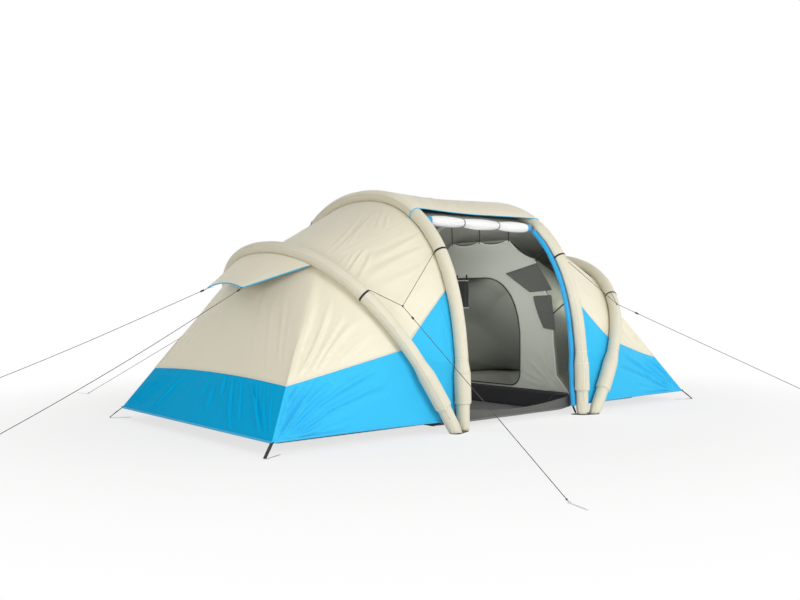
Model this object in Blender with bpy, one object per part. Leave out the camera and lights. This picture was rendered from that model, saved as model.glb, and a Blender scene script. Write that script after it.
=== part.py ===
"""An inflatable family tent: four air beams, a fly with two sleeping pods, and two hanging bedrooms.

X runs along the tent, the front door faces -Y, and Z is up. The origin is on the ground in the middle.
The two main beams are upright and carry the living room. The two end beams lean out over the pods.
Every fabric panel is seated on the beam that carries it, with one named clearance.
"""

import math

import bmesh
import bpy
import numpy as np
from mathutils import Matrix, Vector

# Clearances
GAP = 0.0003
SEAM_GAP = 0.0012
OVERRUN = 0.02

# Air beams
TUBE_RADIUS = 0.0525
TUBE_SIDES = 10
SLEEVE_WALL = 0.003
BOOT_RADIUS = 0.0645
FOOT_RADIUS = 0.046
FOOT_LIFT = 0.0083
MAIN_X = 0.728
MAIN_HALF_WIDTH = 1.246
MAIN_HEIGHT = 1.90
MAIN_FLANK_POWER = 0.905
MAIN_CROWN_POWER = 0.671
END_FOOT_X = 0.838
END_TOP_X = 1.726
END_HALF_WIDTH = 1.287
END_HEIGHT = 1.42
END_FLANK_POWER = 0.930
END_CROWN_POWER = 0.725
PINCH_HEIGHT = 0.050
HEM_HEIGHT = 0.084
BOOT_BOTTOM = 0.205
BOOT_STEP = 0.010
BOOT_SHOULDER = 0.440
BOOT_TOP = 0.540
MAIN_SEAM_HEIGHT = 1.10
MAIN_MID_HEIGHT = 0.82
END_SEAM_HEIGHT = 0.66
END_MID_HEIGHT = 0.60
CANOPY_HALF_DEPTH = 0.70
HIP_HALF_DEPTH = 0.62
SHOULDER_STEPS = 4
CROWN_STEPS = 6

# Webbing bands that the guylines hold
BAND_WIDTH = 0.016
BAND_THICKNESS = 0.0016
MAIN_BAND_HEIGHT = 1.3855
END_BAND_HEIGHT = 1.0357

# Fly and skirt
CLOTH = 0.003
HEM_HALF_LENGTH = 2.401
HEM_HALF_WIDTH = 1.199
HIP_SEAM_SHARE = 0.29
SLACK_SHARE = 0.018
PANEL_STEPS = 3
CORNER_STRAP_WIDTH = 0.016
CORNER_STRAP_THICKNESS = 0.003
CORNER_PEG_X = 0.082
CORNER_PEG_Y = 0.052

# Roof canopy over the main beams
CANOPY_SCOOP_SHARE = 0.26
CANOPY_CREST_SLACK = 0.014
CANOPY_EDGE_SLACK = 0.085
CEILING_SLACK = 0.030
ROOF_STEPS = 4

# Vent hoods on the end beams
HOOD_TIP_X = 2.081
HOOD_TIP_Y = 0.274
HOOD_TIP_Z = 1.095
HOOD_EDGE_RISE = 0.040
HOOD_STEPS = 3
HOOD_SIDE_SHARE = 0.55

# Rolled front door and the storm flaps beside it
ROLL_RADIUS = 0.052
ROLL_WAIST_RADIUS = 0.034
ROLL_END_RADIUS = 0.026
ROLL_HALF_LENGTH = 0.640
ROLL_LOBES = 3
ROLL_SIDES = 12
ROLL_HANG_ANGLE = math.radians(205)
ROLL_SEAT = -0.0007
ROLL_SWELL_POWER = 0.6
FLAP_BEAD_RADIUS = 0.0225
FLAP_BEAD_INSET = 0.071
FLAP_BEAD_STEPS = 6
FLAP_LIFT_SHARE = 0.78
FLAP_REACHES = (0.045, 0.052, 0.059, 0.059, 0.048, 0.042, 0.038, 0.036, 0.034, 0.032, 0.031)
FLAP_STATIONS = (2.5, 3, 4, 5, 6, 7, 8, 9, 10, 11, 11.45)

# Groundsheet, its sills, the webbing tabs and the pads under the feet
SHEET_HALF_LENGTH = 0.700
SILL_HALF_DEPTH = 1.136
SILL_HEIGHT = 0.065
SILL_END_RISE = 0.092
SILL_MID_RISE = 0.037
SHEET_FLAT_HALF_DEPTH = 0.86
SHEET_STEPS = 6
PAD_THICKNESS = 0.008
PAD_RADIUS = 0.044
PAD_SIDES = 8
TAB_WIDTH = 0.050
TAB_CLEARANCE = 0.012

# Bedrooms: profiles are shares of the half width and of the height
ROOM_HALF_WIDTH = 1.105
ROOM_HEIGHT = 1.568
ROOM_MID_X = 1.25
ROOM_BACK_X = 1.62
ROOM_END_X = 2.26
TUB_HEIGHT = 0.172
TUB_FOLD_HEIGHT = 0.145
TUB_FOLD_HALF_WIDTH = 0.920
TUB_FOLD_X = 2.19
FLOOR_HALF_WIDTH = 0.800
FLOOR_X = 2.11
ROOM_FLOOR_LIFT = 0.0005
PARTITION_SHARES = (
    (0.872, 0.205),
    (0.843, 0.379),
    (0.828, 0.566),
    (0.643, 0.878),
    (0.345, 1.001),
    (0.0, 1.0),
)
ROOM_MID_SHARES = (
    (0.905, 0.204),
    (0.870, 0.376),
    (0.815, 0.542),
    (0.560, 0.765),
    (0.300, 0.874),
    (0.0, 0.880),
)
ROOM_BACK_SHARES = (
    (0.905, 0.191),
    (0.840, 0.319),
    (0.770, 0.446),
    (0.500, 0.638),
    (0.250, 0.746),
    (0.0, 0.765),
)
ROOM_END_SHARES = (0.90, 0.75, 0.60, 0.40, 0.20, 0.0)
SCALLOP_SHARE = 0.09
SCALLOP_STEPS = 4
ROOF_LINE_SHARE = 0.86
HANGER_STATIONS = (7.7, 10.6, 13.4, 15)
HANGER_HALF_WIDTH = 0.006
DOORWAY_FRONT_Y = 0.522
DOORWAY_HINGE_Y = 0.450
DOORWAY_CROWN_Y = 0.050
DOORWAY_BOTTOM = 0.200
DOORWAY_SPRING_SHARE = 0.37
DOORWAY_TOP_SHARE = 0.7717
DOORWAY_CORNER = 0.120
DOORWAY_CORNER_STEPS = 4
DOORWAY_CURVE_STEPS = 6
DOORWAY_CURVE_POWER = 0.88
DOOR_LAP = 0.012
DOOR_ROLL_RADIUS = 0.030
DOOR_ROLL_WAIST_SHARE = 0.86
DOOR_ROLL_END_SHARE = 0.70
DOOR_ROLL_STEPS = 8
DOOR_ROLL_SIDES = 8

# Organiser pouch in a doorway
POUCH_WIDTH = 0.200
POUCH_HEIGHT = 0.280
POUCH_DEPTH = 0.050
POUCH_Y = 0.247
POUCH_DROP = 0.015
POUCH_TAB_WIDTH = 0.020
POUCH_TAB_LAP = 0.040

# Guylines, pegs and tensioners
CORD_RADIUS = 0.0022
KNOT_RADIUS = 0.007
BRIDLE_X = 1.296
BRIDLE_Y = 1.204
BRIDLE_Z = 0.960
BRIDLE_PEG_X = 1.938
BRIDLE_PEG_Y = 3.222
HOOD_PEG_X = 4.65
HOOD_PEG_Y = 1.08
NEAR_HOOD_PEG_X = 3.20
NEAR_HOOD_PEG_Y = 0.50
HOOD_LINE_DROP = 0.11
HOOD_LINE_STRAIGHT_SHARE = 0.22
HOOD_LINE_POINTS = 9
PEG_RADIUS = 0.003
PEG_LENGTH = 0.18
PEG_HOOK_RADIUS = 0.009
PEG_HOOK_OPEN_SHARE = 0.15
PEG_HOOK_STEPS = 4
RUNNER_LENGTH = 0.034
RUNNER_RADIUS = 0.0075
RUNNER_CLEARANCE = 0.0004
RUNNER_END_SHARE = 0.70
RUNNER_TAPER_SHARE = 0.20
RUNNER_SIDES = 8
BRIDLE_RUNNER_AT = 0.200
HOOD_RUNNER_AT = 0.040

# Valves
VALVE_STATION = 25.5
NECK_RADIUS = 0.011
NECK_HEIGHT = 0.012
FLANGE_RADIUS = 0.017
FLANGE_HEIGHT = 0.003
CAP_RADIUS = 0.0165
CAP_ROOF = 0.003
CAP_GRIP_WIDTH = 0.005
CAP_GRIP_HEIGHT = 0.005
CAP_GRIP_SINK = 0.0025
CAP_SIDES = 16

# Zip sliders
ZIP_BODY = (0.022, 0.010, 0.006)
ZIP_PULL = (0.007, 0.040, 0.0025)
REAR_ZIP_X = 0.560
REAR_ZIP_HEIGHT = 0.150

DOORWAY_SPRING = ROOM_HEIGHT * DOORWAY_SPRING_SHARE
DOORWAY_TOP = ROOM_HEIGHT * DOORWAY_TOP_SHARE
POUCH_TOP = DOORWAY_TOP - POUCH_DROP

# Stations of every beam, counted from the front foot
FIRST_STATION = 2
BOOT_END_STATION = 6
SEAM_STATION = 8
SHOULDER_STATION = SEAM_STATION + SHOULDER_STEPS
LAST_STATION = 2 * SHOULDER_STATION + CROWN_STEPS
SHEET_STATIONS = [2, 4, 5, 6, 7, 8] + list(range(SEAM_STATION + 1, SHOULDER_STATION + 1))

COLOURS = {
    "canvas": ((0.85, 0.81, 0.70), 0.75, 0.0),
    "sleeve": ((0.88, 0.85, 0.75), 0.70, 0.0),
    "blue": ((0.06, 0.52, 0.86), 0.60, 0.0),
    "inner": ((0.36, 0.38, 0.35), 0.85, 0.0),
    "white": ((0.93, 0.93, 0.92), 0.60, 0.0),
    "black": ((0.02, 0.02, 0.022), 0.70, 0.0),
    "air_film": ((0.80, 0.83, 0.85), 0.30, 0.0),
    "plastic": ((0.05, 0.05, 0.055), 0.45, 0.0),
    "steel": ((0.60, 0.61, 0.62), 0.35, 1.0),
}


def clear_scene():
    """Removes the objects that the scene starts with."""
    for thing in list(bpy.data.objects):
        bpy.data.objects.remove(thing, do_unlink=True)


def material(kind, name):
    """A Principled material for one part."""
    colour, roughness, metallic = COLOURS[kind]
    made = bpy.data.materials.new(name)
    made.use_nodes = True
    shader = made.node_tree.nodes["Principled BSDF"]
    shader.inputs["Base Color"].default_value = (*colour, 1.0)
    shader.inputs["Roughness"].default_value = roughness
    shader.inputs["Metallic"].default_value = metallic
    return made


def add_object(name, data, kind):
    """Links a mesh or curve as one named part with its own material."""
    part = bpy.data.objects.new(name, data)
    bpy.context.scene.collection.objects.link(part)
    data.materials.append(material(kind, name + "_material"))
    return part


def add_cutter(name, data):
    """Links a shape that only takes part in another part's Boolean."""
    tool = bpy.data.objects.new(name, data)
    bpy.context.scene.collection.objects.link(tool)
    tool.display_type = "WIRE"
    tool.hide_render = True
    return tool


def boolean(part, tool, operation):
    """Adds an exact Boolean to a part."""
    step = part.modifiers.new(tool.name, "BOOLEAN")
    step.operation = operation
    step.solver = "EXACT"
    step.object = tool


def mesh_from_faces(name, faces):
    """A mesh from faces given as tuples of points; equal points become one vertex."""
    index, places, polygons = {}, [], []
    for face in faces:
        ids = []
        for point in face:
            key = tuple(round(value, 7) for value in point)
            if key not in index:
                index[key] = len(places)
                places.append(key)
            if index[key] not in ids:
                ids.append(index[key])
        if len(ids) > 2:
            polygons.append(ids)
    made = bpy.data.meshes.new(name)
    made.from_pydata(places, [], polygons)
    return made


def face_out(mesh):
    """Turns the faces of a closed mesh outwards."""
    work = bmesh.new()
    work.from_mesh(mesh)
    bmesh.ops.recalc_face_normals(work, faces=work.faces)
    work.to_mesh(mesh)
    work.free()
    return mesh


def grid_faces(rows):
    """Quads between rows of points."""
    faces = []
    for low, high in zip(rows, rows[1:]):
        for k in range(len(low) - 1):
            faces.append((low[k], low[k + 1], high[k + 1], high[k]))
    return faces


def cloth(name, faces, inside, kind):
    """A cloth panel: an open sheet thickened towards the inside of the tent."""
    mesh = face_out(mesh_from_faces(name, faces))
    votes = 0.0
    for polygon in mesh.polygons:
        votes += polygon.normal.dot(polygon.center - inside) * polygon.area
    if votes < 0:
        mesh.flip_normals()
    part = add_object(name, mesh, kind)
    thick = part.modifiers.new("thickness", "SOLIDIFY")
    thick.thickness = CLOTH
    thick.offset = -1.0
    return part


def smooth(mesh, angle=math.radians(50)):
    """Shades a round piece smooth, with its real edges kept sharp."""
    mesh.shade_smooth()
    mesh.set_sharp_from_angle(angle=angle)


class Beam:
    """One air beam: a planar arch with the same stations on every beam, from front foot to rear foot."""

    def __init__(self, side, foot_x, top_x, half_width, height, powers, mid_height, seam_height, shoulder_y):
        self.side = side
        self.foot_x = foot_x
        self.lean = (top_x - foot_x) / height
        self.half_width = half_width
        self.height = height
        self.flank_power, self.crown_power = powers
        leg_heights = (
            FOOT_LIFT,
            PINCH_HEIGHT,
            HEM_HEIGHT,
            BOOT_BOTTOM,
            BOOT_BOTTOM + BOOT_STEP,
            BOOT_SHOULDER,
            BOOT_TOP,
            mid_height,
            seam_height,
        )
        leg = [math.asin((z / height) ** (1 / self.crown_power)) for z in leg_heights]
        shoulder_turn = math.acos((shoulder_y / half_width) ** (1 / self.flank_power))
        shoulder = list(np.linspace(leg[-1], shoulder_turn, SHOULDER_STEPS + 1)[1:])
        crown = list(np.linspace(shoulder_turn, math.pi - shoulder_turn, CROWN_STEPS + 1)[1:-1])
        front = leg + shoulder
        turns = front + crown + [math.pi - t for t in reversed(front)]
        self.centres = [self.point(t) for t in turns]
        self.across = Vector((side, 0.0, -self.lean)).normalized()
        self.inwards = []
        for k in range(len(turns)):
            before = self.centres[max(k - 1, 0)]
            after = self.centres[min(k + 1, len(turns) - 1)]
            inward = self.across.cross(after - before).normalized()
            middle = self.point(math.pi / 2) * 0.5
            if inward.dot(middle - self.centres[k]) < 0:
                inward = -inward
            self.inwards.append(inward)

    def point(self, turn):
        """The centre line at a turn from 0 at the front foot to pi at the rear foot."""
        level = self.height * abs(math.sin(turn)) ** self.crown_power
        swing = math.copysign(abs(math.cos(turn)) ** self.flank_power, math.cos(turn))
        return Vector((self.side * (self.foot_x + self.lean * level), -self.half_width * swing, level))

    def frame(self, station):
        """The centre and the inward direction at a station, which may lie between two."""
        low = min(int(station), LAST_STATION - 1)
        share = station - low
        centre = self.centres[low].lerp(self.centres[low + 1], share)
        inward = self.inwards[low].lerp(self.inwards[low + 1], share)
        return centre, inward

    def at(self, station, degrees, radius):
        """A point beside the tube: degrees go from the arch's inside towards the pod's end."""
        centre, inward = self.frame(station)
        turn = math.radians(degrees)
        return centre + (inward * math.cos(turn) + self.across * math.sin(turn)) * radius

    def reach(self, station, out, radius):
        """How far a tube of flat sides reaches from its centre line in a direction."""
        inward = self.frame(station)[1]
        turn = math.atan2(out.dot(self.across), out.dot(inward))
        side = 2 * math.pi / TUBE_SIDES
        return radius * math.cos(side / 2) / math.cos(turn % side - side / 2)

    def station_at_height(self, level):
        """The station on the front leg at which the centre line has a height."""
        for k in range(SHOULDER_STATION + CROWN_STEPS // 2):
            low, high = self.centres[k].z, self.centres[k + 1].z
            if low <= level <= high:
                return k + (level - low) / (high - low)
        return float(SHOULDER_STATION)

    def direction(self, station):
        """The run of the tube from the front foot to the rear foot."""
        low = min(int(station), LAST_STATION - 1)
        return (self.centres[low + 1] - self.centres[low]).normalized()

    def ring(self, station, radius, raised=0.0):
        """One section of the tube, with its side away from the fly raised where a band lies."""
        points = []
        for k in range(TUBE_SIDES):
            degrees = 360 * k / TUBE_SIDES
            away = min(degrees, 360 - degrees) > 360 / TUBE_SIDES + 1
            points.append(self.at(station, degrees, radius + (raised if away else 0.0)))
        if station in (0, LAST_STATION):
            run = self.direction(station)
            points = [p + run * ((FOOT_LIFT - p.z) / run.z) for p in points]
        return points


def seat_radius(station):
    """How far from the centre line the fly is seated on a leg, outside the boot."""
    near_foot = min(station, LAST_STATION - station)
    radius = BOOT_RADIUS if near_foot < BOOT_END_STATION else TUBE_RADIUS
    return radius + GAP


def sleeve_profile(beam, band_height):
    """Stations, radii and raised bands of a sleeve's outside, from front foot to rear foot."""
    leg = [
        (0, FOOT_RADIUS, 0.0),
        (1, TUBE_RADIUS, 0.0),
        (2, TUBE_RADIUS, 0.0),
        (3, TUBE_RADIUS, 0.0),
        (4, BOOT_RADIUS, 0.0),
        (5, BOOT_RADIUS, 0.0),
    ]
    leg += [(k, TUBE_RADIUS, 0.0) for k in range(BOOT_END_STATION, SHOULDER_STATION + 1)]
    middle = beam.station_at_height(band_height)
    low = int(middle)
    pitch = (beam.centres[low + 1] - beam.centres[low]).length
    half = BAND_WIDTH / 2 / pitch
    step = BAND_THICKNESS / 2 / pitch
    band = [
        (middle - half - step, TUBE_RADIUS, 0.0),
        (middle - half, TUBE_RADIUS, BAND_THICKNESS),
        (middle + half, TUBE_RADIUS, BAND_THICKNESS),
        (middle + half + step, TUBE_RADIUS, 0.0),
    ]
    front = sorted(leg + band)
    crown = [(k, TUBE_RADIUS, 0.0) for k in range(SHOULDER_STATION + 1, SHOULDER_STATION + CROWN_STEPS)]
    rear = [(LAST_STATION - k, radius, raised) for k, radius, raised in reversed(front)]
    return front + crown + rear


def tube_faces(rings, closed_ends):
    """Quads along a list of rings, with flat ends where asked."""
    faces = []
    for low, high in zip(rings, rings[1:]):
        for k in range(len(low)):
            after = (k + 1) % len(low)
            faces.append((low[k], low[after], high[after], high[k]))
    if closed_ends:
        faces.append(tuple(reversed(rings[0])))
        faces.append(tuple(rings[-1]))
    return faces


def make_sleeve(name, beam, band_height):
    """The fabric sleeve: a long tube open at both feet, with the wide boots and the webbing bands."""
    outer = [beam.ring(*step) for step in sleeve_profile(beam, band_height)]
    inner = [beam.ring(k, TUBE_RADIUS - SLEEVE_WALL) for k in range(1, LAST_STATION)]
    inner.insert(0, beam.ring(0, FOOT_RADIUS - SLEEVE_WALL))
    inner.append(beam.ring(LAST_STATION, FOOT_RADIUS - SLEEVE_WALL))
    faces = tube_faces(outer, False) + tube_faces(inner, False)
    for rim_out, rim_in in ((outer[0], inner[0]), (outer[-1], inner[-1])):
        for k in range(TUBE_SIDES):
            after = (k + 1) % TUBE_SIDES
            faces.append((rim_out[k], rim_out[after], rim_in[after], rim_in[k]))
    mesh = face_out(mesh_from_faces(name, faces))
    smooth(mesh)
    return add_object(name, mesh, "sleeve")


def valve_frame(beam):
    """The valve's seat on the rear boot: a point on the bladder's skin and the direction out of it."""
    centre = beam.frame(VALVE_STATION)[0]
    out = -beam.across
    flat = math.cos(math.pi / TUBE_SIDES)
    return centre + out * (TUBE_RADIUS - SLEEVE_WALL - GAP) * flat, out


def round_mesh(name, origin, axis, profile, sides):
    """A turned solid: profile points are (height along the axis, radius), from one end to the other."""
    turn = axis.to_track_quat("Z", "Y").to_matrix()
    rings = []
    for height, radius in profile:
        ring = []
        for k in range(sides):
            angle = 2 * math.pi * k / sides
            ring.append(origin + turn @ Vector((radius * math.cos(angle), radius * math.sin(angle), height)))
        rings.append(ring)
    mesh = face_out(mesh_from_faces(name, tube_faces(rings, True)))
    return mesh


def box_mesh(name, origin, axes, sizes):
    """A box about a point, with its sizes along three directions."""
    corners = {}
    for i in (-1, 1):
        for j in (-1, 1):
            for k in (-1, 1):
                offset = axes[0] * sizes[0] * i / 2 + axes[1] * sizes[1] * j / 2 + axes[2] * sizes[2] * k / 2
                corners[i, j, k] = origin + offset
    faces = []
    for a, b, c in ((0, 1, 2), (1, 2, 0), (2, 0, 1)):
        for end in (-1, 1):
            loop = []
            for u, v in ((-1, -1), (1, -1), (1, 1), (-1, 1)):
                key = [0, 0, 0]
                key[a], key[b], key[c] = end, u, v
                loop.append(corners[tuple(key)])
            faces.append(tuple(loop))
    return face_out(mesh_from_faces(name, faces))


def make_bladder(name, beam):
    """The air bladder inside a sleeve, with its valve neck and flange on the rear boot."""
    rings = [beam.ring(k, TUBE_RADIUS - SLEEVE_WALL - GAP) for k in range(1, LAST_STATION)]
    mesh = face_out(mesh_from_faces(name, tube_faces(rings, True)))
    part = add_object(name, mesh, "air_film")
    seat, out = valve_frame(beam)
    flat = math.cos(math.pi / TUBE_SIDES)
    flange_at = (BOOT_RADIUS - TUBE_RADIUS + SLEEVE_WALL + GAP) * flat + GAP
    profile = [
        (-NECK_HEIGHT, NECK_RADIUS),
        (flange_at, NECK_RADIUS),
        (flange_at, FLANGE_RADIUS),
        (flange_at + FLANGE_HEIGHT, FLANGE_RADIUS),
        (flange_at + FLANGE_HEIGHT, NECK_RADIUS),
        (flange_at + FLANGE_HEIGHT + NECK_HEIGHT, NECK_RADIUS),
    ]
    neck = add_cutter(name + "_neck", round_mesh(name + "_neck", seat, out, profile, CAP_SIDES))
    boolean(part, neck, "UNION")
    return flange_at


def cut_valve_hole(sleeve, beam, flange_at):
    """The hole in a sleeve's boot that the valve neck passes through."""
    seat, out = valve_frame(beam)
    profile = [(-NECK_HEIGHT - SLEEVE_WALL, NECK_RADIUS + GAP), (flange_at + OVERRUN, NECK_RADIUS + GAP)]
    hole = round_mesh(sleeve.name + "_hole", seat, out, profile, CAP_SIDES)
    boolean(sleeve, add_cutter(sleeve.name + "_hole", hole), "DIFFERENCE")


def make_cap(name, beam, flange_at):
    """A quarter-turn valve cap: a cup over the neck, with a grip bar."""
    seat, out = valve_frame(beam)
    base = flange_at + FLANGE_HEIGHT + GAP
    bore_top = base + NECK_HEIGHT
    profile = [
        (base, NECK_RADIUS + GAP),
        (base, CAP_RADIUS),
        (bore_top + CAP_ROOF - GAP, CAP_RADIUS),
        (bore_top + CAP_ROOF, CAP_RADIUS - GAP),
        (bore_top + CAP_ROOF, 0.0),
    ]
    turn = out.to_track_quat("Z", "Y").to_matrix()
    rings = []
    for height, radius in profile[:-1] + [(bore_top, NECK_RADIUS + GAP)]:
        ring = []
        for k in range(CAP_SIDES):
            angle = 2 * math.pi * k / CAP_SIDES
            ring.append(seat + turn @ Vector((radius * math.cos(angle), radius * math.sin(angle), height)))
        rings.append(ring)
    bore_ring = rings.pop()
    faces = tube_faces(rings, False) + tube_faces([rings[0], bore_ring], False)
    faces += [tuple(rings[-1]), tuple(bore_ring)]
    mesh = face_out(mesh_from_faces(name, faces))
    part = add_object(name, mesh, "plastic")
    sides = (turn @ Vector((1, 0, 0)), turn @ Vector((0, 1, 0)), out)
    grip_at = seat + out * (bore_top + CAP_ROOF + (CAP_GRIP_HEIGHT - CAP_GRIP_SINK) / 2)
    sizes = (2 * CAP_RADIUS - CAP_GRIP_WIDTH, CAP_GRIP_WIDTH, CAP_GRIP_HEIGHT + CAP_GRIP_SINK)
    grip = add_cutter(name + "_grip", box_mesh(name + "_grip", grip_at, sides, sizes))
    boolean(part, grip, "UNION")
    return part


def lines_of_pod(main, end):
    """The lines on the beams that a pod's fly is seated on, one point per sheet row."""
    stations = SHEET_STATIONS + list(range(SHOULDER_STATION + 1, SHOULDER_STATION + CROWN_STEPS))
    stations += [LAST_STATION - k for k in reversed(SHEET_STATIONS)]
    first_angle = 360 / TUBE_SIDES
    main_line = {k: main.at(k, first_angle, seat_radius(k)) for k in stations}
    end_line = {k: end.at(k, 0, seat_radius(k)) for k in stations}
    return stations, main_line, end_line


def slack_row(first, last, steps, inward, share):
    """Points from one seat to another, with the cloth hanging slack between them."""
    span = (last - first).length
    row = []
    for k in range(steps + 1):
        u = k / steps
        row.append(first.lerp(last, u) + inward * (4 * u * (1 - u) * share * span))
    return row


def pod_geometry(side, main, end):
    """Rows of a pod's band, flank and end wall, keyed by station."""
    stations, main_line, end_line = lines_of_pod(main, end)
    band, flank = {}, {}
    for k in stations:
        inward = (main.frame(k)[1] + end.frame(k)[1]).normalized()
        band[k] = slack_row(end_line[k], main_line[k], PANEL_STEPS, inward, SLACK_SHARE)
    corner = {
        1: Vector((side * HEM_HALF_LENGTH, -HEM_HALF_WIDTH, HEM_HEIGHT)),
        -1: Vector((side * HEM_HALF_LENGTH, HEM_HALF_WIDTH, HEM_HEIGHT)),
    }
    hem, seam, top = (end.centres[k].z for k in (FIRST_STATION, SEAM_STATION, SHOULDER_STATION))
    shares = {}
    for k in SHEET_STATIONS:
        level = end.centres[k].z
        if k <= SEAM_STATION:
            shares[k] = HIP_SEAM_SHARE * (level - hem) / (seam - hem)
        else:
            shares[k] = HIP_SEAM_SHARE + (1 - HIP_SEAM_SHARE) * (level - seam) / (top - seam)
    for front in (1, -1):
        shoulder = end_line[SHOULDER_STATION if front == 1 else LAST_STATION - SHOULDER_STATION]
        for k in SHEET_STATIONS:
            station = k if front == 1 else LAST_STATION - k
            hip = corner[front].lerp(shoulder, shares[k])
            inward = end.frame(station)[1]
            flank[station] = slack_row(hip, end_line[station], PANEL_STEPS, inward, SLACK_SHARE)
    wall = {}
    inward = Vector((-side, 0, 0))
    for k in SHEET_STATIONS:
        row = []
        for c in range(CROWN_STEPS + 1):
            u = c / CROWN_STEPS
            foot = corner[1].lerp(corner[-1], u)
            head = end_line[SHOULDER_STATION + c]
            depth = 16 * u * (1 - u) * shares[k] * (1 - shares[k]) * SLACK_SHARE
            row.append(foot.lerp(head, shares[k]) + inward * depth * (head - foot).length)
        wall[k] = row
    return band, flank, wall


def pod_panels(band, flank, wall, low, high, drop):
    """Faces of a pod's cloth between two levels; drop moves the top row down off the seam."""

    def rows_of(table, keys):
        chosen = [list(table[k]) for k in keys]
        if drop:
            chosen[-1] = [p + (q - p).normalized() * drop for p, q in zip(chosen[-1], chosen[-2])]
        return chosen

    keys = [k for k in SHEET_STATIONS if low <= k <= high]
    faces = []
    for mirror in (False, True):
        sided = [LAST_STATION - k if mirror else k for k in keys]
        faces += grid_faces(rows_of(band, sided))
        faces += grid_faces(rows_of(flank, sided))
    faces += grid_faces(rows_of(wall, keys))
    if high >= SHOULDER_STATION:
        crown = list(range(SHOULDER_STATION, LAST_STATION - SHOULDER_STATION + 1))
        faces += grid_faces([band[k] for k in crown])
    return faces


def make_pod(side, main, end):
    """A pod's beige fly and its blue skirt, with the corner straps."""
    label = "left" if side < 0 else "right"
    band, flank, wall = pod_geometry(side, main, end)
    inside = Vector((side * ROOM_MID_X, 0.0, END_HEIGHT / 3))
    fly = pod_panels(band, flank, wall, SEAM_STATION, SHOULDER_STATION, 0.0)
    cloth("pod_fly_" + label, fly, inside, "canvas")
    lower = pod_panels(band, flank, wall, FIRST_STATION, SEAM_STATION, SEAM_GAP)
    skirt = cloth("skirt_" + label, lower, inside, "blue")
    for front in (1, -1):
        corner = Vector((side * HEM_HALF_LENGTH, -front * HEM_HALF_WIDTH, HEM_HEIGHT))
        eye = corner_eye(side, front)
        run = (eye - corner).normalized()
        flat = run.cross(Vector((0, 0, 1))).normalized()
        depth = flat.cross(run)
        start = corner - run * CORNER_STRAP_WIDTH
        sizes = ((eye - start).length, CORNER_STRAP_WIDTH, CORNER_STRAP_THICKNESS)
        mesh = box_mesh("strap", (start + eye) / 2, (run, flat, depth), sizes)
        boolean(skirt, add_cutter("strap_%s_%d" % (label, front), mesh), "UNION")


def corner_eye(side, front):
    """The end of a hem corner's strap, just short of its peg."""
    peg = corner_peg_place(side, front)
    return peg + Vector((0, 0, PEG_RADIUS + 2 * GAP))


def corner_peg_place(side, front):
    """Where a hem corner is pegged, on the ground line of the peg's axis."""
    x = side * (HEM_HALF_LENGTH + CORNER_PEG_X)
    y = -front * (HEM_HALF_WIDTH + CORNER_PEG_Y)
    return Vector((x, y, PEG_RADIUS))


def make_canopy(left, right):
    """The roof canopy over both main beams: it wraps their outer sides and is scooped at its open edges."""
    step = 360 // TUBE_SIDES
    wrap = [step * 3, step * 4, step * 5]
    middle = SHOULDER_STATION + CROWN_STEPS / 2
    rows = []
    for station in range(SHOULDER_STATION, SHOULDER_STATION + CROWN_STEPS + 1):
        edge = abs(station - middle) / (CROWN_STEPS / 2)
        row = [left.at(station, degrees, TUBE_RADIUS + GAP) for degrees in wrap]
        for k in range(1, ROOF_STEPS):
            u = k / ROOF_STEPS
            weight = 4 * u * (1 - u)
            scooped = middle + (station - middle) * (1 - weight * CANOPY_SCOOP_SHARE)
            start = left.at(scooped, wrap[-1], TUBE_RADIUS + GAP)
            end = right.at(scooped, wrap[-1], TUBE_RADIUS + GAP)
            slack = CANOPY_CREST_SLACK + (CANOPY_EDGE_SLACK - CANOPY_CREST_SLACK) * edge**2
            row.append(start.lerp(end, u) - Vector((0, 0, weight * slack)))
        row += [right.at(station, degrees, TUBE_RADIUS + GAP) for degrees in reversed(wrap)]
        rows.append(row)
    inside = Vector((0, 0, MAIN_HEIGHT / 2))
    part = cloth("roof_canopy", grid_faces(rows), inside, "canvas")
    part.modifiers["thickness"].offset = 1.0


def living_line(beam, station):
    """The seat of the living room's cloth on a main beam's inner side."""
    return beam.at(station, -360 / TUBE_SIDES, seat_radius(station))


def make_living_cloth(left, right):
    """The ceiling between the main beams and the closed rear door below it."""
    inside = Vector((0, 0, MAIN_HEIGHT / 2))
    rows = []
    for station in range(SHOULDER_STATION, SHOULDER_STATION + CROWN_STEPS + 1):
        ends = station in (SHOULDER_STATION, SHOULDER_STATION + CROWN_STEPS)
        start, end = living_line(left, station), living_line(right, station)
        row = []
        for k in range(ROOF_STEPS + 1):
            u = k / ROOF_STEPS
            drop = 0.0 if ends else 4 * u * (1 - u) * CEILING_SLACK
            row.append(start.lerp(end, u) - Vector((0, 0, drop)))
        rows.append(row)
    cloth("ceiling_panel", grid_faces(rows), inside, "inner")
    stations = [LAST_STATION - k for k in SHEET_STATIONS]
    rows = []
    for station in stations:
        start, end = living_line(left, station), living_line(right, station)
        rows.append([start.lerp(end, k / ROOF_STEPS) for k in range(ROOF_STEPS + 1)])
    rows[-1] = [p + (q - p).normalized() * SEAM_GAP * 4 for p, q in zip(rows[-1], rows[-2])]
    cloth("rear_door", grid_faces(rows), inside, "canvas")


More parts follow.
